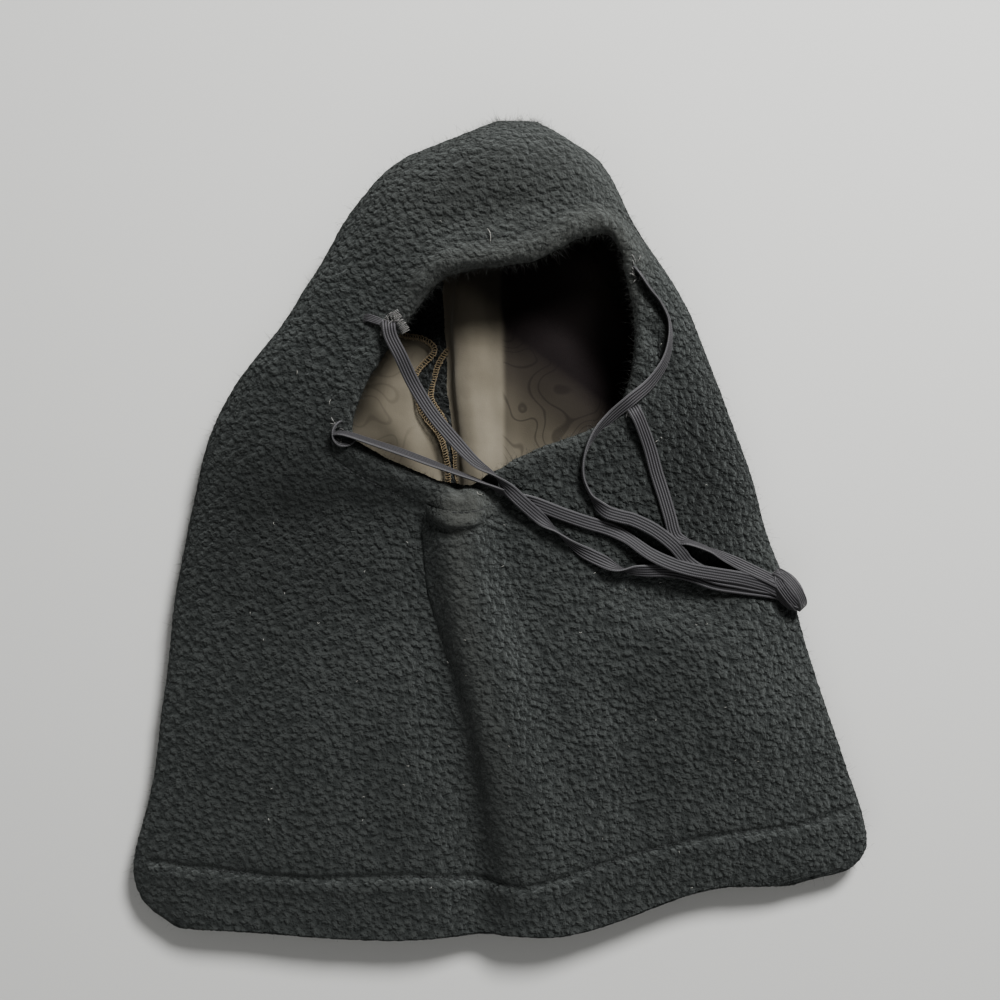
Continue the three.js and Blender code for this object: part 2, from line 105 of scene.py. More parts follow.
def throughPoints(points, step):
    pts = np.asarray(points, dtype=float)
    ends = np.vstack([2 * pts[0] - pts[1], pts, 2 * pts[-1] - pts[-2]])
    fine = np.array(softCurve(ends, 24) + [pts[-1]])
    run = runAlong(fine)
    count = max(int(round(run[-1] / step)), 4)
    return spaced(fine, run, np.linspace(0, run[-1], count + 1))


def closedCurve(points, samples):
    p = np.array(points, dtype=float)
    fine = softCurve(np.vstack([p[-1:], p, p[:2]]), 30)
    fine = np.array(fine + [fine[0]])
    run = runAlong(fine)
    return spaced(fine, run, np.linspace(0, run[-1], samples, endpoint=False))


def gridFaces(rows, columns, closed=False):
    last = columns if closed else columns - 1
    return [(r * columns + c, r * columns + (c + 1) % columns,
             (r + 1) * columns + (c + 1) % columns, (r + 1) * columns + c)
            for r in range(rows - 1) for c in range(last)]


# a row of rings closed at both ends
def tubeFaces(rows, columns):
    return gridFaces(rows, columns, closed=True) + [
        tuple(range(columns))[::-1], tuple((rows - 1) * columns + c for c in range(columns))]


# one of these for each material: it adds nodes and joins them up
class Shader:
    def __init__(self, name):
        self.material = bpy.data.materials.new(name)
        self.material.use_nodes = True
        self.tree = self.material.node_tree
        self.surface = self.tree.nodes["Principled BSDF"]

    def node(self, kind, settings=None, **inputs):
        made = self.tree.nodes.new("ShaderNode" + kind)
        for key, value in (settings or {}).items():
            setattr(made, key, value)
        for key, value in inputs.items():
            self.feed(made.inputs[key.replace("_", " ")], value)
        return made

    def feed(self, socket, value):
        if isinstance(value, bpy.types.NodeSocket):
            self.tree.links.new(value, socket)
        else:
            socket.default_value = value

    def maths(self, operation, *values):
        made = self.node("Math", {"operation": operation})
        for socket, value in zip(made.inputs, values):
            self.feed(socket, value)
        return made.outputs[0]

    def noise(self, where, size, detail):
        return self.node("TexNoise", Vector=where, Scale=1 / size, Detail=detail).outputs["Fac"]

    def scaled(self, vector, share):
        made = self.node("VectorMath", {"operation": "SCALE"})
        self.feed(made.inputs[0], vector)
        self.feed(made.inputs["Scale"], share)
        return made.outputs[0]

    def mix(self, share, a, b):
        made = self.node("Mix", {"data_type": "RGBA"})
        self.feed(made.inputs[0], share)
        self.feed(made.inputs[6], a)
        self.feed(made.inputs[7], b)
        return made.outputs[2]

    def ramp(self, value, *stops):
        made = self.node("ValToRGB")
        elements = made.color_ramp.elements
        elements[0].position, elements[1].position = stops[0][0], stops[-1][0]
        elements[0].color = (stops[0][1],) * 3 + (1,)
        elements[1].color = (stops[-1][1],) * 3 + (1,)
        for place, level in stops[1:-1]:
            elements.new(place).color = (level,) * 3 + (1,)
        self.feed(made.inputs[0], value)
        return made.outputs[0]

    def value(self, name):
        return self.node("Attribute", {"attribute_name": name}).outputs["Fac"]

    def place(self):
        return self.node("TexCoord").outputs["Object"]

    def bump(self, height, strength, distance):
        made = self.node("Bump", Height=height)
        made.inputs["Strength"].default_value = strength
        made.inputs["Distance"].default_value = distance
        self.tree.links.new(made.outputs[0], self.surface.inputs["Normal"])

    def set(self, **values):
        for key, value in values.items():
            self.feed(self.surface.inputs[key.replace("_", " ")], value)


fleeceSet = {"tuft": (0.0385, 0.0415, 0.0400, 1), "gap": (0.0125, 0.0140, 0.0137, 1),
             "paleWearAndHighlight": (0.070, 0.070, 0.063, 1), "tuftSize": 3.1 * mm, "clumpSize": 1.9 * mm,
             "wobbleSize": 2.2 * mm, "wander": 1.9 * mm, "fibreSize": 0.42 * mm, "patchSize": 38 * mm,
             "domeShare": 0.62, "relief": 2.9 * mm}


def fleeceMaterial():
    look = Shader("pebbledFleece")
    where = look.place()
    wobble = look.node("TexNoise", Vector=where, Scale=1 / fleeceSet["wobbleSize"], Detail=2.0)
    offset = look.node("VectorMath", {"operation": "SUBTRACT"})
    look.feed(offset.inputs[0], wobble.outputs["Color"])
    offset.inputs[1].default_value = (0.5, 0.5, 0.5)
    moved = look.node("VectorMath", {"operation": "ADD"})
    look.feed(moved.inputs[0], where)
    look.feed(moved.inputs[1], look.scaled(offset.outputs[0], fleeceSet["wander"]))
    cells = look.node("TexVoronoi", {"feature": "SMOOTH_F1"}, Vector=moved.outputs[0],
                      Scale=1 / fleeceSet["tuftSize"], Smoothness=0.35)
    dome = look.ramp(cells.outputs["Distance"],
                     (0.14, 1.0), (0.36, 0.84), (0.48, 0.45), (0.60, 0.1), (0.72, 0.0))
    clumps = look.node("TexNoise", Vector=where, Scale=1 / fleeceSet["clumpSize"], Detail=1.5, Roughness=0.5)
    clump = look.ramp(clumps.outputs["Fac"], (0.34, 0.0), (0.5, 0.6), (0.66, 1.0))
    tufts = look.maths("ADD", look.maths("MULTIPLY", dome, fleeceSet["domeShare"]),
                       look.maths("MULTIPLY", clump, 1 - fleeceSet["domeShare"]))
    fibres = look.noise(where, fleeceSet["fibreSize"], 3.0)
    patches = look.noise(where, fleeceSet["patchSize"], 3.0)
    wearAndHighlight = look.value("wearAndHighlight")     # 1 where the pile is worn flat along rolls and edges, and on lit tops where a highlight is painted
    paintedPileShade = look.value("paintedPileShade")           # 1 where painted shade darkens the pile
    plainTuft = look.mix(look.maths("MULTIPLY", wearAndHighlight, 0.75), tufts, (0.8, 0.8, 0.8, 1))
    # the gap colour darkens the hollows between tufts: painted shade
    colour = look.mix(look.ramp(plainTuft, (0.0, 0.0), (0.85, 1.0)), fleeceSet["gap"], fleeceSet["tuft"])
    # the paler colour stands for worn pile and for a painted highlight
    colour = look.mix(look.maths("MULTIPLY", wearAndHighlight, 0.6), colour, fleeceSet["paleWearAndHighlight"])
    shade = look.maths("MULTIPLY_ADD", patches, 0.4, 0.8)
    shade = look.maths("MULTIPLY", shade, look.maths("SUBTRACT", 1.0, look.maths("MULTIPLY", paintedPileShade, 0.7)))
    shade = look.maths("MULTIPLY", shade, look.maths("ADD", fibres, 0.5))
    shade = look.maths("MULTIPLY", shade, look.maths("SUBTRACT", 1.0, look.value("shadowed")))
    height = look.maths("ADD", plainTuft, look.maths("MULTIPLY", fibres, 0.28))
    look.set(Base_Color=look.scaled(colour, shade), Roughness=1.0, Specular_IOR_Level=0.05)
    look.set(Sheen_Weight=0.16, Sheen_Roughness=0.7, Sheen_Tint=(0.75, 0.8, 0.78, 1))
    look.bump(height, 1.0, fleeceSet["relief"])
    return look.material


liningSet = {"olive": (0.19, 0.171, 0.134, 1), "deep": (0.105, 0.092, 0.068, 1),
             "shade": (0.055, 0.048, 0.036, 1), "print": (0.030, 0.026, 0.02, 1),
             "shadeMaroon": (0.0050, 0.0026, 0.0032, 1), "swirl": 21 * mm, "swirlLines": 24.0, "cloud": 26 * mm,
             "knit": 0.5 * mm, "crease": 9 * mm, "relief": 0.6 * mm}


def liningMaterial():
    look = Shader("oliveLining")
    where = look.place()
    cloud = look.noise(where, liningSet["cloud"], 4.0)
    base = look.mix(look.ramp(cloud, (0.35, 0.0), (0.7, 1.0)), liningSet["deep"], liningSet["olive"])
    base = look.mix(0.5, base, liningSet["olive"])
    bend = look.node("TexNoise", Vector=where, Scale=1 / liningSet["swirl"], Detail=0.0, Distortion=0.6)
    swirl = look.maths("SINE", look.maths("MULTIPLY", bend.outputs["Fac"], liningSet["swirlLines"]))
    lines = look.ramp(look.maths("ABSOLUTE", swirl), (0.12, 1.0), (0.42, 0.0))
    printAndShade = look.maths("MULTIPLY", lines, look.value("printAndShade"))
    # this mask darkens the base towards the shade colour: the print, and painted shade
    base = look.mix(look.maths("MULTIPLY", look.value("printAndShade"), 0.85), base, liningSet["shade"])
    base = look.mix(look.maths("MULTIPLY", printAndShade, 0.7), base, liningSet["print"])
    # painted shade towards near-black with a slight maroon tint
    base = look.mix(look.value("paintedLiningShade"), base, liningSet["shadeMaroon"])
    knit = look.noise(where, liningSet["knit"], 2.0)
    creases = look.noise(where, liningSet["crease"], 3.0)
    look.set(Base_Color=base, Roughness=0.88, Specular_IOR_Level=0.2)
    look.set(Sheen_Weight=0.2, Sheen_Roughness=0.5, Sheen_Tint=(1.0, 0.97, 0.88, 1))
    look.bump(look.maths("ADD", look.maths("MULTIPLY", knit, 0.25), creases), 0.5, liningSet["relief"])
    return look.material


# the edge colour is a painted highlight on the rims of the braid
elasticSet = {"width": 6.2 * mm, "thickness": 1.25 * mm, "ribs": 5, "ribDepth": 0.34 * mm,
              "light": (0.074, 0.0715, 0.076, 1), "dark": (0.0035, 0.0035, 0.004, 1),
              "plain": (0.04, 0.039, 0.043, 1), "edge": (0.12, 0.118, 0.122, 1),
              "fluffSize": 0.4 * mm, "relief": 0.2 * mm}


def elasticMaterial():
    look = Shader("braidedElastic")
    across = look.value("across")     # 0 at one edge of the braid, 1 at the other
    along = look.value("along")       # millimetres from the slit
    phase = look.maths("MULTIPLY", across, math.pi * elasticSet["ribs"])
    rib = look.maths("ABSOLUTE", look.maths("SINE", phase))
    rib = look.ramp(rib, (0.30, 0.0), (0.72, 0.45), (1.0, 1.0))
    slant = look.maths("ADD", look.maths("MULTIPLY", along, 7.5), look.maths("MULTIPLY", rib, 2.2))
    stitch = look.maths("MULTIPLY_ADD", look.maths("SINE", slant), 0.5, 0.5)
    fluff = look.noise(look.place(), elasticSet["fluffSize"], 3.0)
    colour = look.mix(look.maths("MULTIPLY", rib, look.value("ribbed")),
                      elasticSet["dark"], elasticSet["light"])
    plain = look.mix(look.maths("MULTIPLY", rib, 0.35), elasticSet["plain"], elasticSet["light"])
    colour = look.mix(look.value("ribbed"), plain, colour)
    # painted highlight along the two rims of the braid
    rim = look.ramp(look.maths("ABSOLUTE", look.maths("SUBTRACT", across, 0.5)), (0.44, 0.0), (0.49, 1.0))
    colour = look.mix(look.maths("MULTIPLY", rim, 0.7), colour, elasticSet["edge"])
    shade = look.maths("ADD", look.maths("MULTIPLY", stitch, 0.28), look.maths("MULTIPLY", fluff, 0.9))
    shade = look.maths("ADD", shade, 0.4)
    look.set(Base_Color=look.scaled(colour, shade), Roughness=0.62, Specular_IOR_Level=0.35)
    look.set(Sheen_Weight=0.15, Sheen_Roughness=0.4)
    look.bump(look.maths("ADD", look.maths("MULTIPLY", stitch, 0.5), look.maths("MULTIPLY", fluff, 0.4)),
              0.6, elasticSet["relief"])
    return look.material


threadSet = {"twistSize": 1.4 * mm, "fluffSize": 0.6 * mm, "relief": 0.15 * mm,
             "tan": ((0.205, 0.160, 0.096, 1), (0.026, 0.019, 0.011, 1)),
             "grey": ((0.25, 0.245, 0.235, 1), (0.018, 0.018, 0.018, 1)),
             "pale": ((0.42, 0.41, 0.38, 1), (0.16, 0.155, 0.14, 1)),
             "black": ((0.03, 0.032, 0.032, 1), (0.008, 0.008, 0.009, 1))}


def threadMaterial(name, light, dark):
    look = Shader(name)
    where = look.place()
    twist = look.node("TexWave", {"wave_type": "BANDS", "bands_direction": "DIAGONAL"}, Vector=where,
                      Scale=1 / threadSet["twistSize"], Distortion=3.0, Detail=2.0)
    fluff = look.noise(where, threadSet["fluffSize"], 3.0)
    colour = look.mix(twist.outputs["Fac"], dark, light)
    colour = look.mix(look.maths("MULTIPLY", fluff, 0.4), colour, light)
    look.set(Base_Color=colour, Roughness=0.6, Specular_IOR_Level=0.3)
    look.set(Sheen_Weight=0.2, Sheen_Roughness=0.4)
    look.bump(look.maths("ADD", twist.outputs["Fac"], fluff), 0.5, threadSet["relief"])
    return look.material


fleece = fleeceMaterial()
lining = liningMaterial()
elastic = elasticMaterial()
sergeThread = threadMaterial("tanOverlockThread", *threadSet["tan"])
holeThread = threadMaterial("greyHoleThread", *threadSet["grey"])
lintThread = threadMaterial("paleLint", *threadSet["pale"])
blackThread = threadMaterial("blackSewingThread", *threadSet["black"])
print("materials made")

# the free legs of the elastics: the way each one lies, in metres, slit to knot
legRoutes = {
    "upperLeft": [
        (-.0495, .0946, .0442), (-.0495, .0946, .0475), (-.0495, .0925, .0495), (-.0485, .0875, .0485),
        (-.0445, .0795, .0455), (-.0390, .0675, .0395), (-.0310, .0545, .0370), (-.0210, .0425, .0365),
        (-.0115, .0325, .0370), (-.0035, .0270, .0370), (.0020, .0220, .0380), (.0090, .0150, .0370),
        (.0180, .0070, .0330), (.0255, .0010, .0310), (.0365, -.0075, .0295), (.0470, -.0130, .0285),
        (.0550, -.0165, .0280), (.0665, -.0175, .0270), (.0775, -.0175, .0265), (.0875, -.0195, .0260),
        (.0990, -.0235, .0245), (.1110, -.0255, .0235), (.1225, -.0270, .0220), (.1280, -.0280, .0205),
        (.1332, -.0288, .0190)],
    "lowerLeft": [
        (-.0737, .0457, .0328), (-.0737, .0457, .0360), (-.0720, .0455, .0380), (-.0665, .0440, .0380),
        (-.0590, .0415, .0370), (-.0455, .0370, .0370), (-.0320, .0320, .0365), (-.0200, .0275, .0360),
        (-.0080, .0230, .0355), (.0045, .0175, .0340), (.0160, .0135, .0330), (.0275, .0090, .0320),
        (.0390, .0050, .0310), (.0505, .0015, .0300), (.0585, -.0025, .0295), (.0685, -.0095, .0300),
        (.0780, -.0140, .0300), (.0880, -.0170, .0295), (.0990, -.0190, .0280), (.1110, -.0210, .0265),
        (.1225, -.0240, .0245), (.1280, -.0265, .0234), (.1332, -.0288, .0221)],
    "upperRight": [
        (.0616, .1175, .0410), (.0616, .1175, .0445), (.0630, .1155, .0465), (.0670, .1100, .0445),
        (.0725, .1040, .0405), (.0765, .0965, .0375), (.0770, .0875, .0370), (.0745, .0775, .0370),
        (.0680, .0680, .0375), (.0595, .0605, .0400), (.0505, .0530, .0375), (.0435, .0455, .0365),
        (.0385, .0355, .0355), (.0380, .0255, .0335), (.0420, .0165, .0325), (.0480, .0100, .0340),
        (.0545, .0076, .0338), (.0610, .0059, .0326), (.0704, .0013, .0318), (.0786, -.0049, .0310),
        (.0830, -.0096, .0298), (.0862, -.0134, .0282), (.0915, -.0172, .0274), (.0990, -.0206, .0263),
        (.1110, -.0230, .0250), (.1225, -.0252, .0233), (.1280, -.0258, .0223), (.1332, -.0256, .0210)],
    "lowerRight": [
        (.0600, .0570, .0335), (.0600, .0570, .0370), (.0610, .0550, .0395), (.0635, .0500, .0385),
        (.0680, .0390, .0340), (.0715, .0275, .0310), (.0750, .0170, .0295), (.0780, .0070, .0285),
        (.0796, .0008, .0280), (.0816, -.0026, .0282), (.0860, -.0042, .0296), (.0914, -.0060, .0291),
        (.0969, -.0083, .0283), (.1028, -.0110, .0272), (.1097, -.0142, .0259), (.1165, -.0174, .0252),
        (.1225, -.0202, .0246), (.1280, -.0230, .0234), (.1332, -.0256, .0218)],
}

# how each leg turns on its way: route point and degrees, 0 lies flat and 90 stands on its edge
legTurns = {
    "upperLeft": [(0, 0), (3, 15), (5, 10), (7, 15), (8, 40), (9, 80), (9.6, 100), (10.6, 170), (12, 190),
                  (12.8, 255), (13.5, 285), (14.3, 345), (15, 365), (16, 430), (16.6, 500), (17.5, 530),
                  (19, 545), (22, 550), (24, 560)],
    "lowerLeft": [(0, 30), (2, 72), (4, 68), (5, 62), (6, 64), (8, 84), (9, 120), (10, 165), (13, 180),
                  (14, 212), (15, 200), (17, 180), (20, 170), (22, 165)],
    "upperRight": [(0, 78), (3, 80), (5, 78), (6, 70), (7, 54), (9, 25), (10, 38), (11, 62), (12, 88),
                   (14, 94), (14.8, 150), (15.3, 178), (20, 182), (21, 200), (22, 188), (27, 180)],
    "lowerRight": [(0, 0), (3, 20), (5, 5), (7, 8), (8, 0), (9, 12), (10, 70), (12, 76), (13, 50), (14, 30),
                   (16, 38), (18, 30)],
}
legExits = {"upperLeft": "upper_left", "lowerLeft": "lower_left", "upperRight": "upper_right",
            "lowerRight": "lower_right"}


def ribbonSections(path, turns, width, thickness, ribDepth):
    tangents = np.gradient(path, axis=0)
    tangents /= np.linalg.norm(tangents, axis=1)[:, None]
    sides = np.cross(tangents, (0, 0, 1.0))
    weak = np.linalg.norm(sides, axis=1) < 0.35
    firstGood = int(np.argmin(weak))
    for i in range(firstGood):
        sides[i] = sides[firstGood]
    for i in range(firstGood + 1, len(sides)):
        if weak[i]:
            sides[i] = sides[i - 1]
    sides -= tangents * np.sum(sides * tangents, axis=1)[:, None]
    sides /= np.linalg.norm(sides, axis=1)[:, None]
    ups = np.cross(sides, tangents)
    turns = np.radians(turns)[:, None]
    flatSide = sides * np.cos(turns) + ups * np.sin(turns)
    face = ups * np.cos(turns) - sides * np.sin(turns)
    ribs = elasticSet["ribs"]
    steps = ribs * 5
    share = np.linspace(0, 1, steps + 1)
    ribShape = np.abs(np.sin(math.pi * ribs * share)) ** 0.7
    rimFall = np.clip(np.minimum(share, 1 - share) * 14, 0.25, 1)
    top = (thickness / 2 - ribDepth + ribDepth * ribShape) * rimFall
    low = -(thickness / 2 - ribDepth * 0.7 + ribDepth * 0.7 * ribShape) * rimFall
    loopShare = np.concatenate([share, share[::-1]])
    loopLift = np.concatenate([top, low[::-1]])
    ribbed = np.concatenate([np.ones(steps + 1), np.full(steps + 1, 0.85)])
    points = (path[:, None, :] + flatSide[:, None, :] * ((loopShare - 0.5) * width)[None, :, None]
              + face[:, None, :] * loopLift[None, :, None])
    return points, loopShare, ribbed


def ribbonPiece(name, path, turns, width, thickness, ribDepth):
    points, share, ribbed = ribbonSections(path, turns, width, thickness, ribDepth)
    rows, columns = points.shape[:2]
    piece = newPiece(name, points.reshape(-1, 3), tubeFaces(rows, columns), elastic)
    run = runAlong(path) / mm
    giveValue(piece, "across", np.tile(share, rows))
    giveValue(piece, "ribbed", np.tile(ribbed, rows))
    giveValue(piece, "along", np.repeat(run, columns))
    return piece, float(run[-1]) * mm


# each leg: a ribbon along its route, turned as listed
legPieces = {}
for leg, route in legRoutes.items():
    path = throughPoints(route, 0.8 * mm)
    corners = np.array(route)
    nearest = [int(np.argmin(np.linalg.norm(path - p, axis=1))) for p in corners]
    nearest[0] = 0
    order = np.interp(np.arange(len(path)), nearest, np.arange(len(route)))
    marks = np.array(legTurns[leg], dtype=float)
    turns = np.interp(order, marks[:, 0], marks[:, 1])
    kernel = np.hanning(9) / np.hanning(9).sum()
    turns = np.convolve(np.pad(turns, 4, mode="edge"), kernel, mode="valid")
    piece, length = ribbonPiece("elasticLeg_" + leg, path, turns, elasticSet["width"],
                                elasticSet["thickness"], elasticSet["ribDepth"])
    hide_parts("elastic_leg_" + legExits[leg])
    legPieces[leg] = (piece, path, length)
    print("elastic leg made", leg, round(length, 4))

# the lying hood: shares of the length, hem 0 to crown 1, each with a value there
hood = {"length": 380.0, "hemWidth": 342.0, "crownRound": 41.0, "napeRound": 26.0, "brow": 60.0,
        "crownTip": 25.0, "hemRise": 25.0, "hemRiseLeft": 5.0, "hemRiseFrom": 20.0, "hemRiseTo": 110.0,
        "hemRiseReach": 150.0, "front": 0.35, "back": 0.175, "backPress": 1.5, "frontShort": 3.2}
leftEdge = [(0, -0.895), (0.014, -0.945), (0.034, -0.985), (0.075, -1.005), (0.168, -0.964), (0.292, -0.925),
            (0.403, -0.895), (0.502, -0.854), (0.614, -0.795), (0.682, -0.725), (0.738, -0.61),
            (0.799, -0.522), (0.883, -0.409), (0.941, -0.271), (0.97, -0.145), (1, -0.01)]
rightEdge = [(0, 0.82), (0.021, 0.965), (0.071, 1.005), (0.254, 0.905), (0.391, 0.826), (0.49, 0.744),
             (0.626, 0.645), (0.762, 0.523), (0.859, 0.385), (0.941, 0.271), (0.97, 0.19), (1, 0.1)]
crestLine = [(0, 21), (0.1, 22), (0.3, 25), (0.42, 26), (0.52, 30), (0.57, 33), (0.68, 42), (0.8, 54),
             (0.893, 60)]
sideFold = [(0, 11), (0.75, 11), (0.86, 16), (0.96, 25), (1, 25)]
hemY = -hood["length"] / 2
browY = hood["length"] / 2 - hood["crownRound"]
napeY = hood["length"] / 2 - hood["napeRound"]


def alongKnots(knots, at):
    k = np.array(knots, dtype=float)
    at = np.clip(np.asarray(at, dtype=float), k[0, 0], k[-1, 0])
    i = np.clip(np.searchsorted(k[:, 0], at, side="left") - 1, 0, len(k) - 2)
    last = len(k) - 1
    low, high = np.maximum(np.arange(len(k)) - 1, 0), np.minimum(np.arange(len(k)) + 1, last)
    slope = (k[high, 1] - k[low, 1]) / (k[high, 0] - k[low, 0])
    span = k[i + 1, 0] - k[i, 0]
    t = (at - k[i, 0]) / span
    r = 1 - t
    return (r * r * ((1 + 2 * t) * k[i, 1] + t * span * slope[i])
            + t * t * ((1 + 2 * r) * k[i + 1, 1] - r * span * slope[i + 1]))


def shareOf(y):
    return (y - hemY) / hood["length"]


def hemLift(x, y):
    side = smoothStep(x, hood["hemRiseFrom"], hood["hemRiseTo"])
    corner = hood["hemRiseLeft"] * smoothStep(-x, 40, 150) * (1 - smoothStep(y, hemY, hemY + 70))
    return corner + hood["hemRise"] * side * (1 - smoothStep(y, hemY, hemY + hood["hemRiseReach"]))


def section(y, angle, inset):
    turn = np.radians(angle)
    nape = np.maximum(y - napeY, 0) / hood["napeRound"]
    napeShare = np.sqrt(np.maximum(1 - nape * nape, 0))
    half = hood["hemWidth"] / 2
    left, right = alongKnots(leftEdge, shareOf(y)) * half, alongKnots(rightEdge, shareOf(y)) * half
    crest = np.where(angle > 0, hood["crownTip"] + (hood["brow"] - hood["crownTip"] - inset) * np.cos(turn),
                     alongKnots(crestLine, shareOf(y)) - inset)
    return {"y": y - inset * np.sin(turn), "nominal": y, "middle": (left + right) / 2,
            "half": (right - left) / 2 - inset, "crest": crest, "fold": alongKnots(sideFold, shareOf(y)),
            "back": hood["crownTip"] * (1 - napeShare) + inset * napeShare}


def frontOf(at, share):
    x = at["middle"] + at["half"] * share
    bulge = np.maximum(1 - share * share, 0) ** hood["front"]
    z = at["fold"] + (at["crest"] - at["fold"]) * bulge
    return np.stack(np.broadcast_arrays(x, at["y"] + hemLift(x, at["nominal"]), z), axis=-1)


def backOf(at, share):
    x = at["middle"] + at["half"] * share
    bulge = np.maximum(1 - share * share, 0) ** hood["back"]
    z = np.maximum(at["back"], at["fold"] - (at["fold"] - at["back"] + hood["backPress"]) * bulge)
    return np.stack(np.broadcast_arrays(x, at["y"] + hemLift(x, at["nominal"]), z), axis=-1)


def frontHeight(x, y):
    at = section(np.minimum(y, browY), np.zeros_like(y), 0.0)
    share = np.clip((x - at["middle"]) / at["half"], -1, 1)
    return frontOf(at, share)[..., 2]


# Folds pressed into the cloth. A fold is a list of places on its way: x, y, height, width to its left and
# width to its right, in millimetres.
def besideFold(x, y, fold, power=2.0):
    f = np.array(fold, dtype=float)
    best = np.full(x.shape, 1e9)
    lift = np.zeros(x.shape)
    for a, b in zip(f[:-1], f[1:]):
        run = b[:2] - a[:2]
        t = np.clip(((x - a[0]) * run[0] + (y - a[1]) * run[1]) / (run @ run), 0, 1)
        dx, dy = x - a[0] - t * run[0], y - a[1] - t * run[1]
        away = np.hypot(dx, dy)
        left = run[0] * dy - run[1] * dx > 0
        here = a + (b - a) * t[..., None]
        width = np.where(left, here[..., 3], here[..., 4])
        value = here[..., 2] * np.exp(-(away / width) ** power)
        near = away < best
        best = np.where(near, away, best)
        lift = np.where(near, value, lift)
    return lift


# walking from crown to hem, left is the +X side
frontFolds = [
    # the standing fold below the chin, steep on its -X side
    ([(-17, 18, 2, 10, 9), (-20, 8, 5.5, 14, 9), (-20, -3, 8, 15, 7.5), (-16, -30, 9, 16, 8),
      (-5, -76, 7.5, 19, 11), (3, -118, 6, 20, 12), (9, -150, 4.5, 22, 13), (13, -186, 3, 24, 14)], 3.2),
    ([(-36, 8, -1, 7, 7), (-34, -3, -3.5, 7, 12), (-33, -26, -4, 8, 14), (-24, -72, -4.5, 9, 16),
      (-16, -114, -6.5, 9, 16), (-11, -150, -7, 9, 15), (-8, -186, -5, 10, 14)], 2.0),
    ([(40, -20, 0, 7, 10), (62, -26, -5, 7, 12), (90, -31, -5, 7, 12), (116, -36, 0, 7, 12)], 2.0),
    ([(80, -30, 0, 22, 22), (98, -60, 6, 26, 26), (112, -92, 5, 26, 26), (122, -120, 0, 22, 22)], 2.0),
    ([(-128, -6, 0, 14, 16), (-100, 4, -5.5, 14, 20), (-70, 9, -5.5, 12, 20), (-40, 6, -3.5, 10, 14)], 2.0),
    ([(64, 98, 0, 3, 3), (68.5, 92, -3, 3.2, 3.2), (73.5, 82, -2.6, 3.5, 3.5), (76, 68, -1, 4, 4),
      (76, 58, 0, 4, 4)], 2.0),
    ([(-44, 122, 0, 6, 6), (-28, 135, -2.6, 8, 8), (0, 142, -3.2, 9, 9), (26, 148, -3, 9, 9),
      (50, 148, 0, 8, 8)], 2.0),
    ([(-60, 150, 0, 9, 9), (-38, 160, 2.5, 9, 10), (-8, 168, 3, 10, 12), (24, 168, 0, 10, 12)], 2.0),
    ([(-124, 40, 0, 9, 9), (-108, 72, 3, 10, 10), (-84, 108, 3.5, 10, 10), (-62, 138, 0, 9, 9)], 2.0),
    ([(-100, -30, 0, 14, 14), (-88, -80, 3.5, 20, 20), (-84, -130, 3, 20, 20), (-90, -168, 0, 16, 16)], 2.0),
    ([(46, -40, 0, 12, 12), (58, -84, -3.5, 16, 16), (62, -130, -3, 16, 16), (60, -164, 0, 14, 14)], 2.0),
    # the casing's stitched end across the chin roll
    ([(-31, 5.5, 0, 1.4, 1.4), (-28, 3.8, -1.4, 1.4, 1.4), (-20, 2.2, -1.8, 1.4, 1.4),
      (-11, 3, -1.6, 1.4, 1.4), (-4, 7, -0.8, 1.4, 1.4), (2, 12, 0, 1.4, 1.4)], 2.0),
]
hemStitchLine = [(-163, -154), (-148, -156), (-93, -161), (-41, -160), (-19, -162), (10, -165.5), (21, -163),
                 (60, -151), (94, -142), (139, -137), (163, -130)]
chinBulb = {"centre": (-17.6, 11.0), "reach": (12.6, 9.6), "lift": 5.6}
chinNotch = [(-21.5, 26, -5, 2.2, 2.2), (-20, 21.5, -5.2, 2.4, 2.4), (-17.6, 17.4, -3, 2.2, 2.2)]


def frontLift(x, y):
    lift = np.zeros(x.shape)
    for fold, power in frontFolds:
        lift += besideFold(x, y, fold, power)
    bulb = ((x - chinBulb["centre"][0]) / chinBulb["reach"][0]) ** 2 \
        + ((y - chinBulb["centre"][1]) / chinBulb["reach"][1]) ** 2
    lift += chinBulb["lift"] * np.exp(-bulb ** 3.4)
    lift += besideFold(x, y, chinNotch)
    lift += besideFold(x, y, [(p[0], p[1], -2.1, 1.8, 1.8) for p in hemStitchLine])
    lift += besideFold(x, y, [(p[0], p[1] - 5, 0.9, 4, 4) for p in hemStitchLine])
    return lift


def roll(points, size, seed):
    return np.array([noise.noise(Vector((p[0] / size + seed, p[1] / size, p[2] / size))) for p in points])


def tuftLift(points, size=2.9):
    lift = np.empty(len(points))
    for i, p in enumerate(points):
        where = Vector((p[0] / size, p[1] / size, p[2] / size))
        where += 0.35 * noise.noise_vector(where * 1.3)
        away = noise.voronoi(where)[0]
        lift[i] = min((away[1] - away[0]) * 1.7, 1.0)
    return lift ** 0.6 - 0.55


def gridNormals(grid):
    down = np.gradient(grid, axis=0)
    over = np.gradient(grid, axis=1)
    normal = np.cross(over, down)
    size = np.linalg.norm(normal, axis=-1, keepdims=True)
    return normal / np.maximum(size, 1e-9)


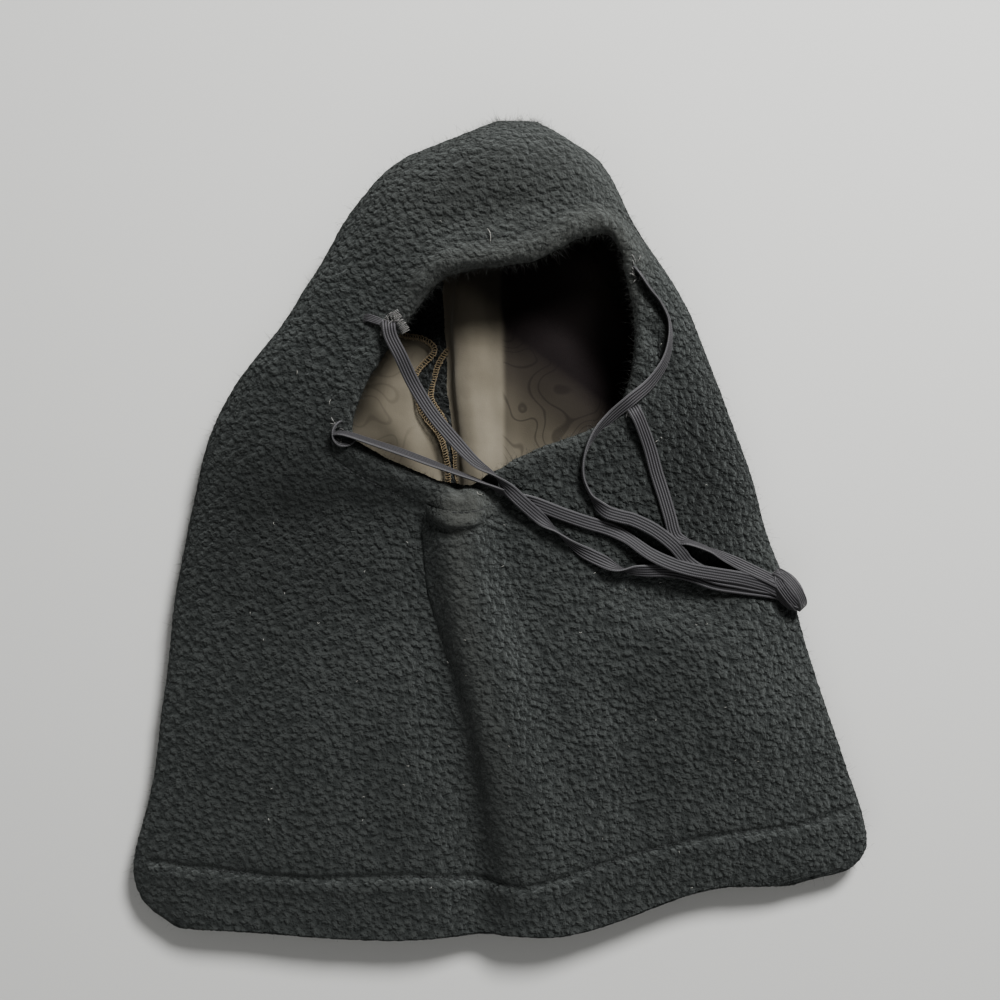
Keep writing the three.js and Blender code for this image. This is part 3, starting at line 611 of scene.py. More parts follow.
# face opening
openingEdge = [(-42.4, 90.9), (-36.9, 100), (-31, 108.1), (-22.1, 115.2), (-8.8, 117.2), (8.8, 119.4),
               (22.1, 124.8), (33.2, 131), (44.5, 134.5), (51.4, 132), (55.9, 122.4), (58.6, 104.7),
               (59.6, 87.1), (58.2, 69.3), (53.8, 56.5), (45.4, 49.5), (22.7, 40), (4.5, 32.3), (-7, 26),
               (-13, 22.6), (-18.5, 22.4), (-27.4, 23.8), (-45.5, 31), (-61.4, 39.2), (-68, 44.5),
               (-65.6, 57), (-58.6, 70.5), (-49.3, 83)]
casing = {"width": 13.5, "samples": 640, "roll": 1.2, "browRoll": 2.6, "bumps": 0.9, "bumpSize": 9.0}


def smoothLoop(values, reach):
    kernel = np.hanning(2 * reach + 1)
    kernel /= kernel.sum()
    padded = np.concatenate([values[-reach:], values, values[:reach]])
    if values.ndim == 1:
        return np.convolve(padded, kernel, mode="valid")
    return np.column_stack([np.convolve(padded[:, k], kernel, mode="valid") for k in range(values.shape[1])])


rim = closedCurve(openingEdge, casing["samples"])
tangent = np.roll(rim, -1, axis=0) - np.roll(rim, 1, axis=0)
outward = np.column_stack([-tangent[:, 1], tangent[:, 0]])
outward /= np.linalg.norm(outward, axis=1)[:, None]
middleOfRim = rim.mean(axis=0)
if np.mean(np.sum(outward * (rim - middleOfRim), axis=1)) < 0:
    outward = -outward
slowOutward = smoothLoop(outward, 26)
slowOutward /= np.linalg.norm(slowOutward, axis=1)[:, None]
slowRim = smoothLoop(rim, 14)


def beside(out):
    share = min(max(out, 0) / casing["width"], 1)
    start = rim * (1 - share) + slowRim * share
    return start + slowOutward * out


def distanceInside(x, y, loop):
    away = np.full(x.shape, 1e9)
    nearX, nearY = np.zeros(x.shape), np.zeros(x.shape)
    inside = np.zeros(x.shape, dtype=bool)
    after = np.roll(loop, -1, axis=0)
    for a, b in zip(loop, after):
        run = b - a
        t = np.clip(((x - a[0]) * run[0] + (y - a[1]) * run[1]) / (run @ run), 0, 1)
        px, py = a[0] + t * run[0], a[1] + t * run[1]
        d = np.hypot(x - px, y - py)
        near = d < away
        away = np.where(near, d, away)
        nearX, nearY = np.where(near, px, nearX), np.where(near, py, nearY)
        if a[1] != b[1]:
            crosses = (a[1] > y) != (b[1] > y)
            inside ^= crosses & (x < run[0] * (y - a[1]) / run[1] + a[0])
    return np.where(inside, away, -away), nearX, nearY


def cutByLoop(piecePoints, faces, loop, pitch):
    lowX, lowY = loop.min(axis=0) - 6
    highX, highY = loop.max(axis=0) + 6
    near = (piecePoints[:, 0] > lowX) & (piecePoints[:, 0] < highX) \
        & (piecePoints[:, 1] > lowY) & (piecePoints[:, 1] < highY)
    depth = np.full(len(piecePoints), -1e9)
    index = np.nonzero(near)[0]
    d, nx, ny = distanceInside(piecePoints[index, 0], piecePoints[index, 1], loop)
    depth[index] = d
    snap = np.abs(d) < 0.6 * pitch
    piecePoints[index[snap], 0] = nx[snap]
    piecePoints[index[snap], 1] = ny[snap]
    depth[index[snap]] = 0
    faces = np.array(faces)
    gone = np.any(depth[faces] > 0, axis=1) | (np.sum(depth[faces] == 0, axis=1) == 4)
    faces = faces[~gone]
    used, renamed = np.unique(faces, return_inverse=True)
    return piecePoints[used], renamed.reshape(faces.shape), used


# outer fleece, one tube from crown to hem, open for the face
skin = {"pitch": 1.05, "frontColumns": 340, "backColumns": 110, "tuft": 0.5, "unevenness": 1.6,
        "unevenSize": 34.0, "leastHeight": 0.05}


def unevenness(points):
    return skin["unevenness"] * roll(points, skin["unevenSize"], 3.0)


def acrossFront(columns):
    return np.sin(np.linspace(-1, 1, columns) * math.pi / 2)[None, :]


def acrossBack(columns):
    return np.sin(np.linspace(1, -1, columns)[1:-1] * math.pi / 2)[None, :]


def besideEdges(columns, low, high):     # 0 at the two side folds, 1 over most of the layer
    return smoothStep(1 - np.abs(np.linspace(-1, 1, columns)), low, high)


def skinGrid(inset, frontColumns, backColumns, pitch, firstY=hemY + 0.2, lastAngle=86):
    rows = int((browY - firstY) / pitch)
    ys = np.concatenate([np.linspace(firstY, browY, rows), np.full(int(60 / pitch), browY)])
    angles = np.concatenate([np.zeros(rows), np.linspace(0, lastAngle, int(60 / pitch) + 1)[1:]])
    y = ys + hood["crownRound"] * np.sin(np.radians(angles))
    at = section(y[:, None], angles[:, None], inset)
    return frontOf(at, acrossFront(frontColumns)), backOf(at, acrossBack(backColumns)), y


def shortfall(x, y):
    return hood["frontShort"] * np.exp(-((x - 8) / 42) ** 2) * (1 - smoothStep(y, hemY, hemY + 40))


frontGrid, backGrid, rowY = skinGrid(0.0, skin["frontColumns"], skin["backColumns"], skin["pitch"])
ringGrid = np.concatenate([frontGrid, backGrid], axis=1)
rows, columns = ringGrid.shape[:2]
normals = gridNormals(np.concatenate([ringGrid, ringGrid[:, :1]], axis=1))[:, :columns]
if normals[rows // 3, skin["frontColumns"] // 2, 2] < 0:
    normals = -normals
isFront = np.zeros((rows, columns))
isFront[:, :skin["frontColumns"]] = 1
fade = np.zeros((rows, columns))
fade[:, :skin["frontColumns"]] = besideEdges(skin["frontColumns"], 0.02, 0.22)
crownFade = (1 - smoothStep(rowY, 176, 188))[:, None]
shift = fade * crownFade * frontLift(ringGrid[..., 0], ringGrid[..., 1])
flat = ringGrid.reshape(-1, 3)
shift = shift.ravel() + unevenness(flat) * (0.25 + 0.75 * isFront.ravel())
tufts = tuftLift(flat)
pressed = np.clip((flat[:, 2] - 0.3) / 3.0, 0, 1)
shift += skin["tuft"] * tufts * pressed
flat = flat + normals.reshape(-1, 3) * shift[:, None]
flat[:, 2] = np.maximum(flat[:, 2], skin["leastHeight"])
# the standing fold leans over the hollow beside it
lean = besideFold(flat[:, 0], flat[:, 1], [(-30, 14, 1, 5, 4), (-30.5, 0, 5, 6, 4), (-28, -28, 4.5, 6, 4),
                                           (-20, -60, 2, 6, 4), (-14, -90, 0, 6, 4)])
flat[:, 0] -= lean * isFront.ravel()
# the front layer stops a little short of the back one at the middle of the hem
flat[:, 1] += shortfall(flat[:, 0], flat[:, 1]) * isFront.ravel()
outerLoop = beside(casing["width"] - 1.0)
skinFaces = gridFaces(rows, columns, closed=True)
points, faces, used = cutByLoop(flat, skinFaces, outerLoop, skin["pitch"])
# the crown closes on the middle of its last ring
lastRing = np.searchsorted(used, (rows - 1) * columns + np.arange(columns))
crownTip = points[lastRing].mean(axis=0) + (0, 0.4, 0)
capped = np.vstack([points, crownTip])
crownFan = [(int(a), int(b), len(points)) for a, b in zip(lastRing, np.roll(lastRing, -1))]
fleeceSkin = newPiece("fleeceHood", capped * mm, [tuple(face) for face in faces] + crownFan, fleece)


# painted shade: darker patches on the pile over the left and right sides, the top of the crown and the lower
# standing fold
def paintedPileShadeAt(x, y):
    dark = 0.85 * np.exp(-(((x + 100) / 60) ** 2 + ((y - 5) / 50) ** 2))
    dark += 1.05 * np.exp(-(((x - 92) / 32) ** 2 + ((y - 32) / 60) ** 2))
    dark += 0.65 * np.exp(-((x / 75) ** 2 + ((y - 177) / 28) ** 2))
    dark += 0.35 * np.exp(-(((x + 3) / 20) ** 2 + ((y + 125) / 40) ** 2))
    return np.clip(dark, 0, 1)


# painted highlight, paler over the lit chin bulb, the crest of the standing fold and the crown
def wearAndHighlightAt(x, y):
    bulb = np.exp(-(((x + 17) / 13) ** 2 + ((y - 12) / 9) ** 2) ** 1.5)
    ridge = besideFold(x, y, [(-20, 10, 0.5, 7, 7), (-17, -40, 0.35, 8, 8), (-5, -90, 0.25, 9, 9),
                              (6, -150, 0.1, 9, 9)])
    crown = 0.32 * np.exp(-((x / 75) ** 2 + ((y - 158) / 38) ** 2))
    return np.clip(bulb + ridge + crown, 0, 1)


giveValue(fleeceSkin, "paintedPileShade", paintedPileShadeAt(capped[:, 0], capped[:, 1]))
giveValue(fleeceSkin, "wearAndHighlight", wearAndHighlightAt(capped[:, 0], capped[:, 1]))
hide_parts("outer_fleece_left", "outer_fleece_right")
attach(fleeceSkin, "hood")
print("fleece hood made", len(points))

# casings: the edge of the opening turned in over the elastic
# across the casing: out from the edge, height over the hood's surface, share of the roll
casingShape = [(13.9, -1.5, 0), (13.2, -0.7, 0), (12.4, -0.15, 0.03), (11.2, 0.0, 0.12), (9.6, 0.1, 0.35),
               (7.8, 0.2, 0.68), (6.0, 0.2, 0.94), (4.2, 0.1, 1.0), (2.8, -0.2, 0.85), (1.6, -0.7, 0.6),
               (0.75, -1.4, 0.35), (0.2, -2.2, 0.15), (0.0, -3.1, 0), (0.2, -4.0, 0), (0.9, -4.8, 0),
               (2.2, -5.5, 0), (4.5, -6.0, 0), (8.0, -6.1, 0), (12.0, -6.0, 0), (13.0, -5.4, 0),
               (13.0, -4.2, 0)]


def casingGrid():
    shape = np.array(casingShape)
    fineAt = np.linspace(0, len(shape) - 1, 46)
    shape = np.column_stack([np.interp(fineAt, np.arange(len(shape)), shape[:, k]) for k in range(3)])
    grid = np.zeros((len(shape), casing["samples"], 3))
    brow = smoothStep(rim[:, 1], 78, 112) * (1 - 0.75 * smoothStep(rim[:, 0], 48, 58))
    for row, (out, lift, share) in enumerate(shape):
        flatPlace = beside(out)
        x, y = flatPlace[:, 0], flatPlace[:, 1]
        size = casing["roll"] + (casing["browRoll"] - casing["roll"]) * brow
        z = frontHeight(x, y) + frontLift(x, y) * (1 if lift > -3 else 0.5) + lift + size * share
        grid[row] = np.column_stack([x, y, z])
    return grid


rimGrid = casingGrid()
rimRows, rimColumns = rimGrid.shape[:2]
wrapped = np.concatenate([rimGrid[:, -1:], rimGrid, rimGrid[:, :1]], axis=1)
rimNormals = gridNormals(wrapped)[:, 1:-1]
if rimNormals[10, :, 2].mean() < 0:
    rimNormals = -rimNormals
rimFlat = rimGrid.reshape(-1, 3)
outerPart = np.repeat(np.arange(rimRows) < 30, rimColumns)
rimShift = skin["tuft"] * tuftLift(rimFlat) * 0.9 + unevenness(rimFlat)
rimShift += (casing["bumps"] * roll(rimFlat, casing["bumpSize"], 8.0) * outerPart
             * np.repeat(np.minimum(np.arange(rimRows) / 12, 1), rimColumns))
rimFlat = rimFlat + rimNormals.reshape(-1, 3) * rimShift[:, None]


def casingPiece(name, keep, node):
    grid = rimFlat.reshape(rimRows, rimColumns, 3)
    edges = np.nonzero(keep)[0]
    start = edges[np.nonzero(~keep[(edges - 1) % rimColumns])[0][0]]
    count = int(keep.sum()) + 1
    order = (start + np.arange(count)) % rimColumns
    part = grid[:, order]
    piece = newPiece(name, part.reshape(-1, 3) * mm, gridFaces(rimRows, count), fleece)
    x, y = part[..., 0].ravel(), part[..., 1].ravel()
    giveValue(piece, "paintedPileShade", paintedPileShadeAt(x, y))
    # paler along the rolled edge and more on the brow: worn pile, and a painted highlight where the light
    # falls on the brow roll
    edgeWearAndHighlight = np.interp(np.arange(rimRows), [0, 8, 16, 24, 30, 45], [0, 0.15, 0.4, 0.9, 0.7, 0.2])
    brow = smoothStep(y, 85, 115) * 0.75 + 0.25
    wearAndHighlight = np.repeat(edgeWearAndHighlight, count) * brow + wearAndHighlightAt(x, y)
    giveValue(piece, "wearAndHighlight", np.clip(wearAndHighlight, 0, 1))
    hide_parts(node)
    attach(piece, "hood")


splitHeight = np.interp(rim[:, 0], [-110, 110], [76, 86])
casingPiece("browCasing", rim[:, 1] > splitHeight, "brow_casing")
casingPiece("chinCasing", rim[:, 1] <= splitHeight, "chin_casing")
print("casings made")

# loose fibres standing out of the pile, thickest along the worn edge of the brow
fuzz = {"hood": 8000, "casings": 6500, "length": (0.7, 2.2), "radius": 0.05}


def fuzzPiece(name, roots, directions, seed):
    draw = np.random.default_rng(seed)
    count = len(roots)
    long = draw.uniform(*fuzz["length"], count)[:, None]
    lean = draw.normal(0, 0.75, (count, 3))
    bend = draw.normal(0, 0.9, (count, 3))
    steps = 4
    line = np.stack([roots - directions * 0.3 + (directions + lean) * long * t + bend * long * t * t * 0.6
                     for t in np.linspace(0, 1, steps)], axis=1)
    line[..., 2] = np.maximum(line[..., 2], 0.12)
    run = np.gradient(line, axis=1)
    run /= np.linalg.norm(run, axis=2, keepdims=True)
    side = np.cross(run, np.array([0.3, 0.9, 0.31]))
    side /= np.maximum(np.linalg.norm(side, axis=2, keepdims=True), 1e-6)
    up = np.cross(side, run)
    turn = np.linspace(0, 2 * math.pi, 3, endpoint=False)
    size = (fuzz["radius"] * np.linspace(1, 0.45, steps))[None, :, None, None]
    ring = line[:, :, None, :] + size * (side[:, :, None, :] * np.cos(turn)[:, None]
                                         + up[:, :, None, :] * np.sin(turn)[:, None])
    one = tubeFaces(steps, 3)
    faces = [tuple(i + k * steps * 3 for i in f) for k in range(count) for f in one]
    piece = newPiece(name, ring.reshape(-1, 3) * mm, faces, fleece)
    spots = ring.reshape(-1, 3)
    # painted shade taken from the pile beneath
    giveValue(piece, "paintedPileShade", paintedPileShadeAt(spots[:, 0], spots[:, 1]) * 0.6)
    # paler loose fibres: painted highlight
    giveValue(piece, "wearAndHighlight", np.full(len(spots), 0.75))
    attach(piece, "hood")


draw = np.random.default_rng(11)
skinNormals = normals.reshape(-1, 3)[used]
high = np.nonzero(points[:, 2] > 1.0)[0]
chosen = draw.choice(high, fuzz["hood"], replace=False)
fuzzPiece("hoodFuzz", points[chosen], skinNormals[chosen], 21)
edgeWeight = np.repeat(np.interp(np.arange(rimRows), [0, 12, 20, 27, 31, 45],
                                 [0.2, 0.5, 1, 1, 0.6, 0]), rimColumns)
edgeWeight *= 0.35 + smoothStep(rimFlat[:, 1], 80, 112)
chosen = draw.choice(len(rimFlat), fuzz["casings"], replace=False, p=edgeWeight / edgeWeight.sum())
fuzzPiece("casingFuzz", rimFlat[chosen], rimNormals.reshape(-1, 3)[chosen], 22)
print("loose fibres made")

# lining: a second tube inside the fleece, folded over the back seam
liningFolds = [
    # the standing pleat, sheer on its -X side
    ([(-13, 132, 5, 11, 12), (-12.5, 118, 9, 12, 11), (-12, 95, 12.5, 12, 11), (-10, 60, 13.5, 12, 10.5),
      (-7.5, 28, 12.5, 12, 10.5), (-7, 0, 8, 13, 11), (-9, -30, 2, 13, 12)], 2.8),
    ([(-62, 20, 0, 12, 12), (-58, 45, 6, 14, 14), (-52, 70, 7, 13, 13), (-50, 95, 3, 10, 10)], 2.0),
    ([(26, 20, 1, 16, 16), (32, 45, 5, 18, 18), (26, 75, 3, 14, 14), (16, 100, 1, 10, 10)], 2.0),
    ([(2, 126, -2, 8, 8), (28, 99, -3, 9, 9), (58, 74, -2, 9, 9)], 2.0),
    ([(40, 128, 12, 14, 14), (52, 108, 9, 10, 12), (62, 92, 4, 8, 10)], 2.0),
]


liningCloth = {"backInset": 4.1, "backRows": 250, "backColumns": 300, "aboveHem": 22, "pastBrow": 30,
               "frontInset": 3.7, "frontColumns": 150, "frontPitch": 2.4, "unevenness": 1.1,
               "unevenSize": 16.0, "frontCut": 11.0}


def liningUnevenness(points):
    return liningCloth["unevenness"] * roll(points, liningCloth["unevenSize"], 5.0)


def backLiningGrid():
    y = np.linspace(hemY + liningCloth["aboveHem"], browY + liningCloth["pastBrow"],
                    liningCloth["backRows"])[:, None]
    at = section(y, np.zeros_like(y), liningCloth["backInset"])
    u = np.linspace(-1, 1, liningCloth["backColumns"])
    u = u - 0.18 * np.sin(2 * math.pi * u) / math.pi     # closer together at the pleat
    share = np.clip(u, -0.985, 0.985)[None, :]
    return backOf(at, share)


def liningLiftAt(x, y):
    return sum(besideFold(x, y, fold, power) for fold, power in liningFolds)


liningGrid = backLiningGrid()
lx, ly = liningGrid[..., 0], liningGrid[..., 1]
liningLift = liningLiftAt(lx, ly)
liningLift *= besideEdges(lx.shape[1], 0.02, 0.25)
liningLift += liningUnevenness(liningGrid.reshape(-1, 3)).reshape(lx.shape)
liningGrid[..., 2] += liningLift
pleatLean = besideFold(lx, ly, [(-22, 125, 3, 5, 5), (-21.5, 60, 4.5, 5, 5), (-19.5, 20, 3.5, 5, 5)])
liningGrid[..., 0] -= pleatLean * smoothStep(liningLift, 3, 11)
liningPoints = liningGrid.reshape(-1, 3)
backLining = newPiece("backLining", liningPoints * mm, gridFaces(*lx.shape), lining)
# the print right of the pleat and at the far left, and painted shade right of the pleat, lighter towards the
# hem
printAndShade = smoothStep(lx, 0.5, 3.5) * (1 - 0.45 * smoothStep(ly, 52, 34))
printAndShade += 0.3 * (1 - smoothStep(lx, -46, -38))
giveValue(backLining, "printAndShade", np.clip(printAndShade, 0, 1))
# painted shade: the lining goes near black into the crown under the brow and the right rim, and darkens up
# the pleat
intoCrown = (lx + 5) * 46 / 78 + (ly - 118) * 63 / 78
besidePleat = smoothStep(lx, -1, 4)
paintedLiningShade = (0.7 * smoothStep(intoCrown, -48, -24) + 0.24 * smoothStep(intoCrown, -26, -10)) * besidePleat
paintedLiningShade += 0.4 * smoothStep(intoCrown, -16, -3)
paintedLiningShade += 0.42 * smoothStep(ly, 42, 118) * (1 - besidePleat)
paintedLiningShade = np.clip(paintedLiningShade, 0, 1) * 0.985
# a little less painted shade on the lit maroon patch
paintedLiningShade -= 0.16 * np.exp(-(((lx - 47) / 12) ** 2 + ((ly - 122) / 12) ** 2))
giveValue(backLining, "paintedLiningShade", paintedLiningShade)

liningFront = skinGrid(liningCloth["frontInset"], liningCloth["frontColumns"], 12, liningCloth["frontPitch"],
                       firstY=hemY + liningCloth["aboveHem"], lastAngle=84)[0]
lf = liningFront.reshape(-1, 3)
lfLift = frontLift(lf[:, 0], lf[:, 1])
lfLift *= np.tile(besideEdges(liningCloth["frontColumns"], 0.05, 0.3), liningFront.shape[0])
lf[:, 2] += np.minimum(lfLift, 0) * 0.9 + np.maximum(lfLift, 0) * 0.5
lf, lfFaces, _ = cutByLoop(lf, gridFaces(*liningFront.shape[:2]), beside(liningCloth["frontCut"]),
                           liningCloth["frontPitch"])
frontLining = newPiece("frontLining", lf * mm, lfFaces[:, ::-1], lining)
giveValue(frontLining, "printAndShade", np.full(len(lf), 0.6))
giveValue(frontLining, "paintedLiningShade", np.zeros(len(lf)))
for piece in (backLining, frontLining):
    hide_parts("lining_left", "lining_right")
    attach(piece, "hood")
print("lining made")

# turned hem: the fleece goes round the bottom edge and back up inside
hemTurn = [(-189.8, 0.0), (-190.3, 0.5), (-190.7, 1.5), (-190.8, 2.6), (-190.4, 3.8), (-189.4, 4.7),
           (-187.6, 5.2), (-184.0, 5.4), (-180.0, 5.4), (-176.0, 5.3), (-172.0, 5.3), (-168.6, 5.2),
           (-167.4, 4.9), (-167.0, 4.3), (-167.3, 3.9)]


hem = {"frontColumns": 260, "backColumns": 110}


def hemGrid():
    turn = np.array(hemTurn)
    at = section(turn[:, :1], np.zeros((len(turn), 1)), turn[:, 1:])
    at["y"] = turn[:, :1]
    grid = np.concatenate([frontOf(at, acrossFront(hem["frontColumns"])),
                           backOf(at, acrossBack(hem["backColumns"]))], axis=1)
    isTop = np.zeros(grid.shape[:2])
    isTop[:, :hem["frontColumns"]] = besideEdges(hem["frontColumns"], 0.02, 0.22)
    grid[..., 2] += isTop * frontLift(grid[..., 0], grid[..., 1]) * np.where(turn[:, 1:] > 3, 0.8, 1.0)
    grid[..., 1] += shortfall(grid[..., 0], grid[..., 1]) * (isTop > 0)
    return grid


hemPoints = hemGrid()
hemRows, hemColumns = hemPoints.shape[:2]
hemFlat = hemPoints.reshape(-1, 3)
hemFlat[:, 2] += unevenness(hemFlat) * np.tile(np.arange(hemColumns) < hem["frontColumns"], hemRows)
hemNormals = gridNormals(hemPoints)
hemFlat += hemNormals.reshape(-1, 3) * (skin["tuft"] * tuftLift(hemFlat))[:, None]
hemFlat[:, 2] = np.maximum(hemFlat[:, 2], skin["leastHeight"])
turnedHem = newPiece("turnedHem", hemFlat * mm, gridFaces(hemRows, hemColumns, closed=True), fleece)
# painted shade as on the pile above
giveValue(turnedHem, "paintedPileShade", paintedPileShadeAt(hemFlat[:, 0], hemFlat[:, 1]))
# paler along the turned edge: worn pile and painted highlight
giveValue(turnedHem, "wearAndHighlight", np.repeat(np.interp(np.arange(hemRows), [0, 3, 6, 14], [0.1, 0.4, 0.2, 0]),
                                         hemColumns))
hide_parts("turned_hem")
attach(turnedHem, "hood")
print("turned hem made")


# threads: every stitch is a short tube along its own line
def threadPiece(name, lines, radius, material, node=None, sides=6):
    points, faces = [], []
    for line in lines:
        line = np.asarray(line, dtype=float)
        thick = radius
        if isinstance(radius, tuple):
            thick = np.interp(np.linspace(0, 1, len(line)), np.linspace(0, 1, len(radius)), radius)
        run = np.gradient(line, axis=0)
        run /= np.maximum(np.linalg.norm(run, axis=1)[:, None], 1e-9)
        helper = np.where(np.abs(run[:, 2:]) > 0.9, np.array([[1.0, 0, 0]]), np.array([[0, 0, 1.0]]))
        side = np.cross(run, helper)
        side /= np.linalg.norm(side, axis=1)[:, None]
        up = np.cross(side, run)
        turn = np.linspace(0, 2 * math.pi, sides, endpoint=False)
        size = np.broadcast_to(thick, len(line))[:, None, None]
        ring = line[:, None, :] + size * (side[:, None, :] * np.cos(turn)[None, :, None]
                                          + up[:, None, :] * np.sin(turn)[None, :, None])
        base = len(points)
        points.extend(ring.reshape(-1, 3))
        faces.extend([tuple(base + i for i in f) for f in tubeFaces(len(line), sides)])
    piece = newPiece(name, np.array(points) * mm, faces, material)
    if node:
        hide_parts(node)
    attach(piece, "hood")
    return piece


def surfaceZ(x, y):
    x, y = np.asarray(x, dtype=float), np.asarray(y, dtype=float)
    return frontHeight(x, y) + frontLift(x, y)


def stitchLines(path, pitch, length, sink):
    path = throughPoints([(p[0], p[1], 0) for p in path], 0.25)
    run = runAlong(path)
    lines = []
    for start in np.arange(1.0, run[-1] - length, pitch):
        at = np.linspace(start, start + length, 6)
        x, y = np.interp(at, run, path[:, 0]), np.interp(at, run, path[:, 1])
        z = surfaceZ(x, y) - sink + 0.45 * np.sin(np.linspace(0, math.pi, 6))
        lines.append(np.column_stack([x, y, z]))
    return lines


stitch = {"pitch": 3.0, "length": 2.3, "radius": 0.28}
threadPiece("hemStitches", stitchLines(hemStitchLine, stitch["pitch"], stitch["length"], 0.45),
            stitch["radius"], blackThread, "hem_stitching")
seamPath = beside(casing["width"] - 0.4)
seamPath = np.vstack([seamPath, seamPath[:1]])[::8]
threadPiece("casingStitches", stitchLines(seamPath, stitch["pitch"], stitch["length"], 0.9),
            stitch["radius"], blackThread, "casing_stitching")
print("stitches made")

# back seam: its edges pressed open, each one overlocked with tan thread
sergeLeft = [(-58, 98), (-47, 93.7), (-43.4, 92.3), (-37.7, 91.6), (-33.2, 89.2), (-31.8, 84.8),
             (-36.8, 77.7), (-40.1, 71.2), (-38.7, 63.6), (-34.4, 52.7), (-28.3, 44.7), (-25.6, 39),
             (-25.5, 31), (-23.5, 20), (-22, 0), (-21, -30), (-12, -80), (-2, -150), (0, -164)]
sergeRight = [(-17, 118), (-17, 103), (-20, 92), (-26, 84), (-30.5, 76), (-32.4, 68.6), (-31.6, 61.2),
              (-26.4, 51.8), (-22.4, 41.9), (-20.8, 30.6), (-18, 18), (-15, 0), (-14, -30), (-5, -80),
              (5, -150), (7, -164)]


def liningHeight(x, y):
    at = section(y, np.zeros_like(y), liningCloth["backInset"])
    share = np.clip((x - at["middle"]) / at["half"], -0.98, 0.98)
    z = backOf(at, share)[..., 2]
    pleatSide = smoothStep(x, -34, -24)
    return z + liningUnevenness(np.column_stack([x, y, z])) + liningLiftAt(x, y) * (1 - pleatSide)


def sergeLine(path, lift, wave):
    line = throughPoints([(p[0], p[1], 0) for p in path], 0.6)
    x = line[:, 0] + wave * 0.8 * np.sin(line[:, 1] / 2.9 + lift)
    y = line[:, 1]
    z = liningHeight(x, y) + lift + wave * np.sin(y / 5.5)
    return np.column_stack([x, y, z])


def sergeLoops(line, reach, height, seed):
    draw = np.random.default_rng(seed)
    run = np.gradient(line, axis=0)
    run[:, 2] = 0
    run /= np.linalg.norm(run, axis=1)[:, None]
    side = np.column_stack([-run[:, 1], run[:, 0], np.zeros(len(run))])
    loops = []
    arc = np.linspace(-0.15, math.pi + 0.15, 9)
    for i in range(1, len(line) - 2, 2):
        lean = run[i] * draw.uniform(0.2, 1.7)
        wide = reach * draw.uniform(0.72, 1.2)
        rise = height * draw.uniform(0.75, 1.25)
        loops.append(np.array([line[i] + side[i] * wide * math.cos(a) + lean * (a / math.pi - 0.5)
                               + np.array([0, 0, rise * math.sin(a)]) for a in arc]))
    for offset in (-0.82, 0.82):
        weave = 0.16 * np.sin(np.arange(len(line)) * 1.9)
        loops.append(line + side * (reach * offset + weave[:, None]) + np.array([0, 0, height * 0.62]))
    return loops


serge = {"reach": 1.3, "height": 1.25, "radius": 0.29}
leftLine = sergeLine(sergeLeft, 3.6, 0.9)
rightLine = sergeLine(sergeRight, 1.6, 0.5)
threadPiece("overlockLeft", sergeLoops(leftLine, serge["reach"], serge["height"], 31),
            serge["radius"], sergeThread, "overlock_left")
threadPiece("overlockRight", sergeLoops(rightLine, serge["reach"], serge["height"], 32),
            serge["radius"], sergeThread, "overlock_right")


# the seam allowances get painted shade, nearly black
allowance = {"rows": 420, "thickness": 1.6, "tuft": 0.35, "paintedPileShade": 0.9, "shadowed": 0.95}


def allowancePiece(name, edge, inner, sag, node):
    count = allowance["rows"]
    runs = [runAlong(line) for line in (edge, inner)]
    a, b = [spaced(line, run, np.linspace(0, run[-1], count)) for line, run in zip((edge, inner), runs)]
    share = np.linspace(0, 1, 14)[None, :, None]
    top = a[:, None, :] * (1 - share) + b[:, None, :] * share
    top[..., 2] -= sag * np.sin(share[..., 0] * math.pi)
    low = top[:, ::-1] - np.array([0, 0, allowance["thickness"]])
    ring = np.concatenate([top, low], axis=1)
    flatRing = ring.reshape(-1, 3)
    flatRing[:, 2] += allowance["tuft"] * tuftLift(flatRing)
    faces = gridFaces(count, ring.shape[1], closed=True)
    piece = newPiece(name, flatRing * mm, faces, fleece)
    giveValue(piece, "paintedPileShade", np.full(len(flatRing), allowance["paintedPileShade"]))
    giveValue(piece, "shadowed", np.full(len(flatRing), allowance["shadowed"]))
    giveValue(piece, "wearAndHighlight", np.zeros(len(flatRing)))
    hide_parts(node)
    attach(piece, "hood")


middlePath = [(-52, 126), (-40, 124), (-30, 120), (-22, 114), (-19, 104), (-18, 96), (-18, 88), (-18, 78),
              (-18, 66), (-17.5, 56), (-17, 46), (-16, 38), (-14, 30), (-12, 18), (-10, 0), (-8, -30),
              (1, -80), (9, -150), (11, -164)]
middleLine = sergeLine(middlePath, 0.8, 0.0)
innerPath = [(-6, 116), (-8, 102), (-9, 92), (-10, 84), (-11, 76), (-12, 68), (-12, 60), (-11, 51),
             (-11, 42), (-11, 30), (-9, 18), (-7, 0), (-5, -30), (4, -80), (13, -150), (15, -164)]
innerLine = sergeLine(innerPath, 1.0, 0.0)
underThread = np.array([0, 0, 0.4])
allowancePiece("seamAllowanceLeft", leftLine - underThread, middleLine, 0.8, "seam_allowance_left")
allowancePiece("seamAllowanceRight", rightLine - underThread, innerLine, 0.3, "seam_allowance_right")
print("back seam made")

# buttonholes: a whipped ring of thread round each slit, a little frayed
slits = {"upper_left": (-49.5, 94.6), "lower_left": (-73.7, 45.7), "lower_right": (60.0, 57.0),
         "upper_right": (61.6, 117.5)}
buttonhole = {"half": 3.6, "wide": 1.5, "band": 1.1, "stitches": 34, "radius": 0.17, "frays": 11}
scatter = random.Random(7)


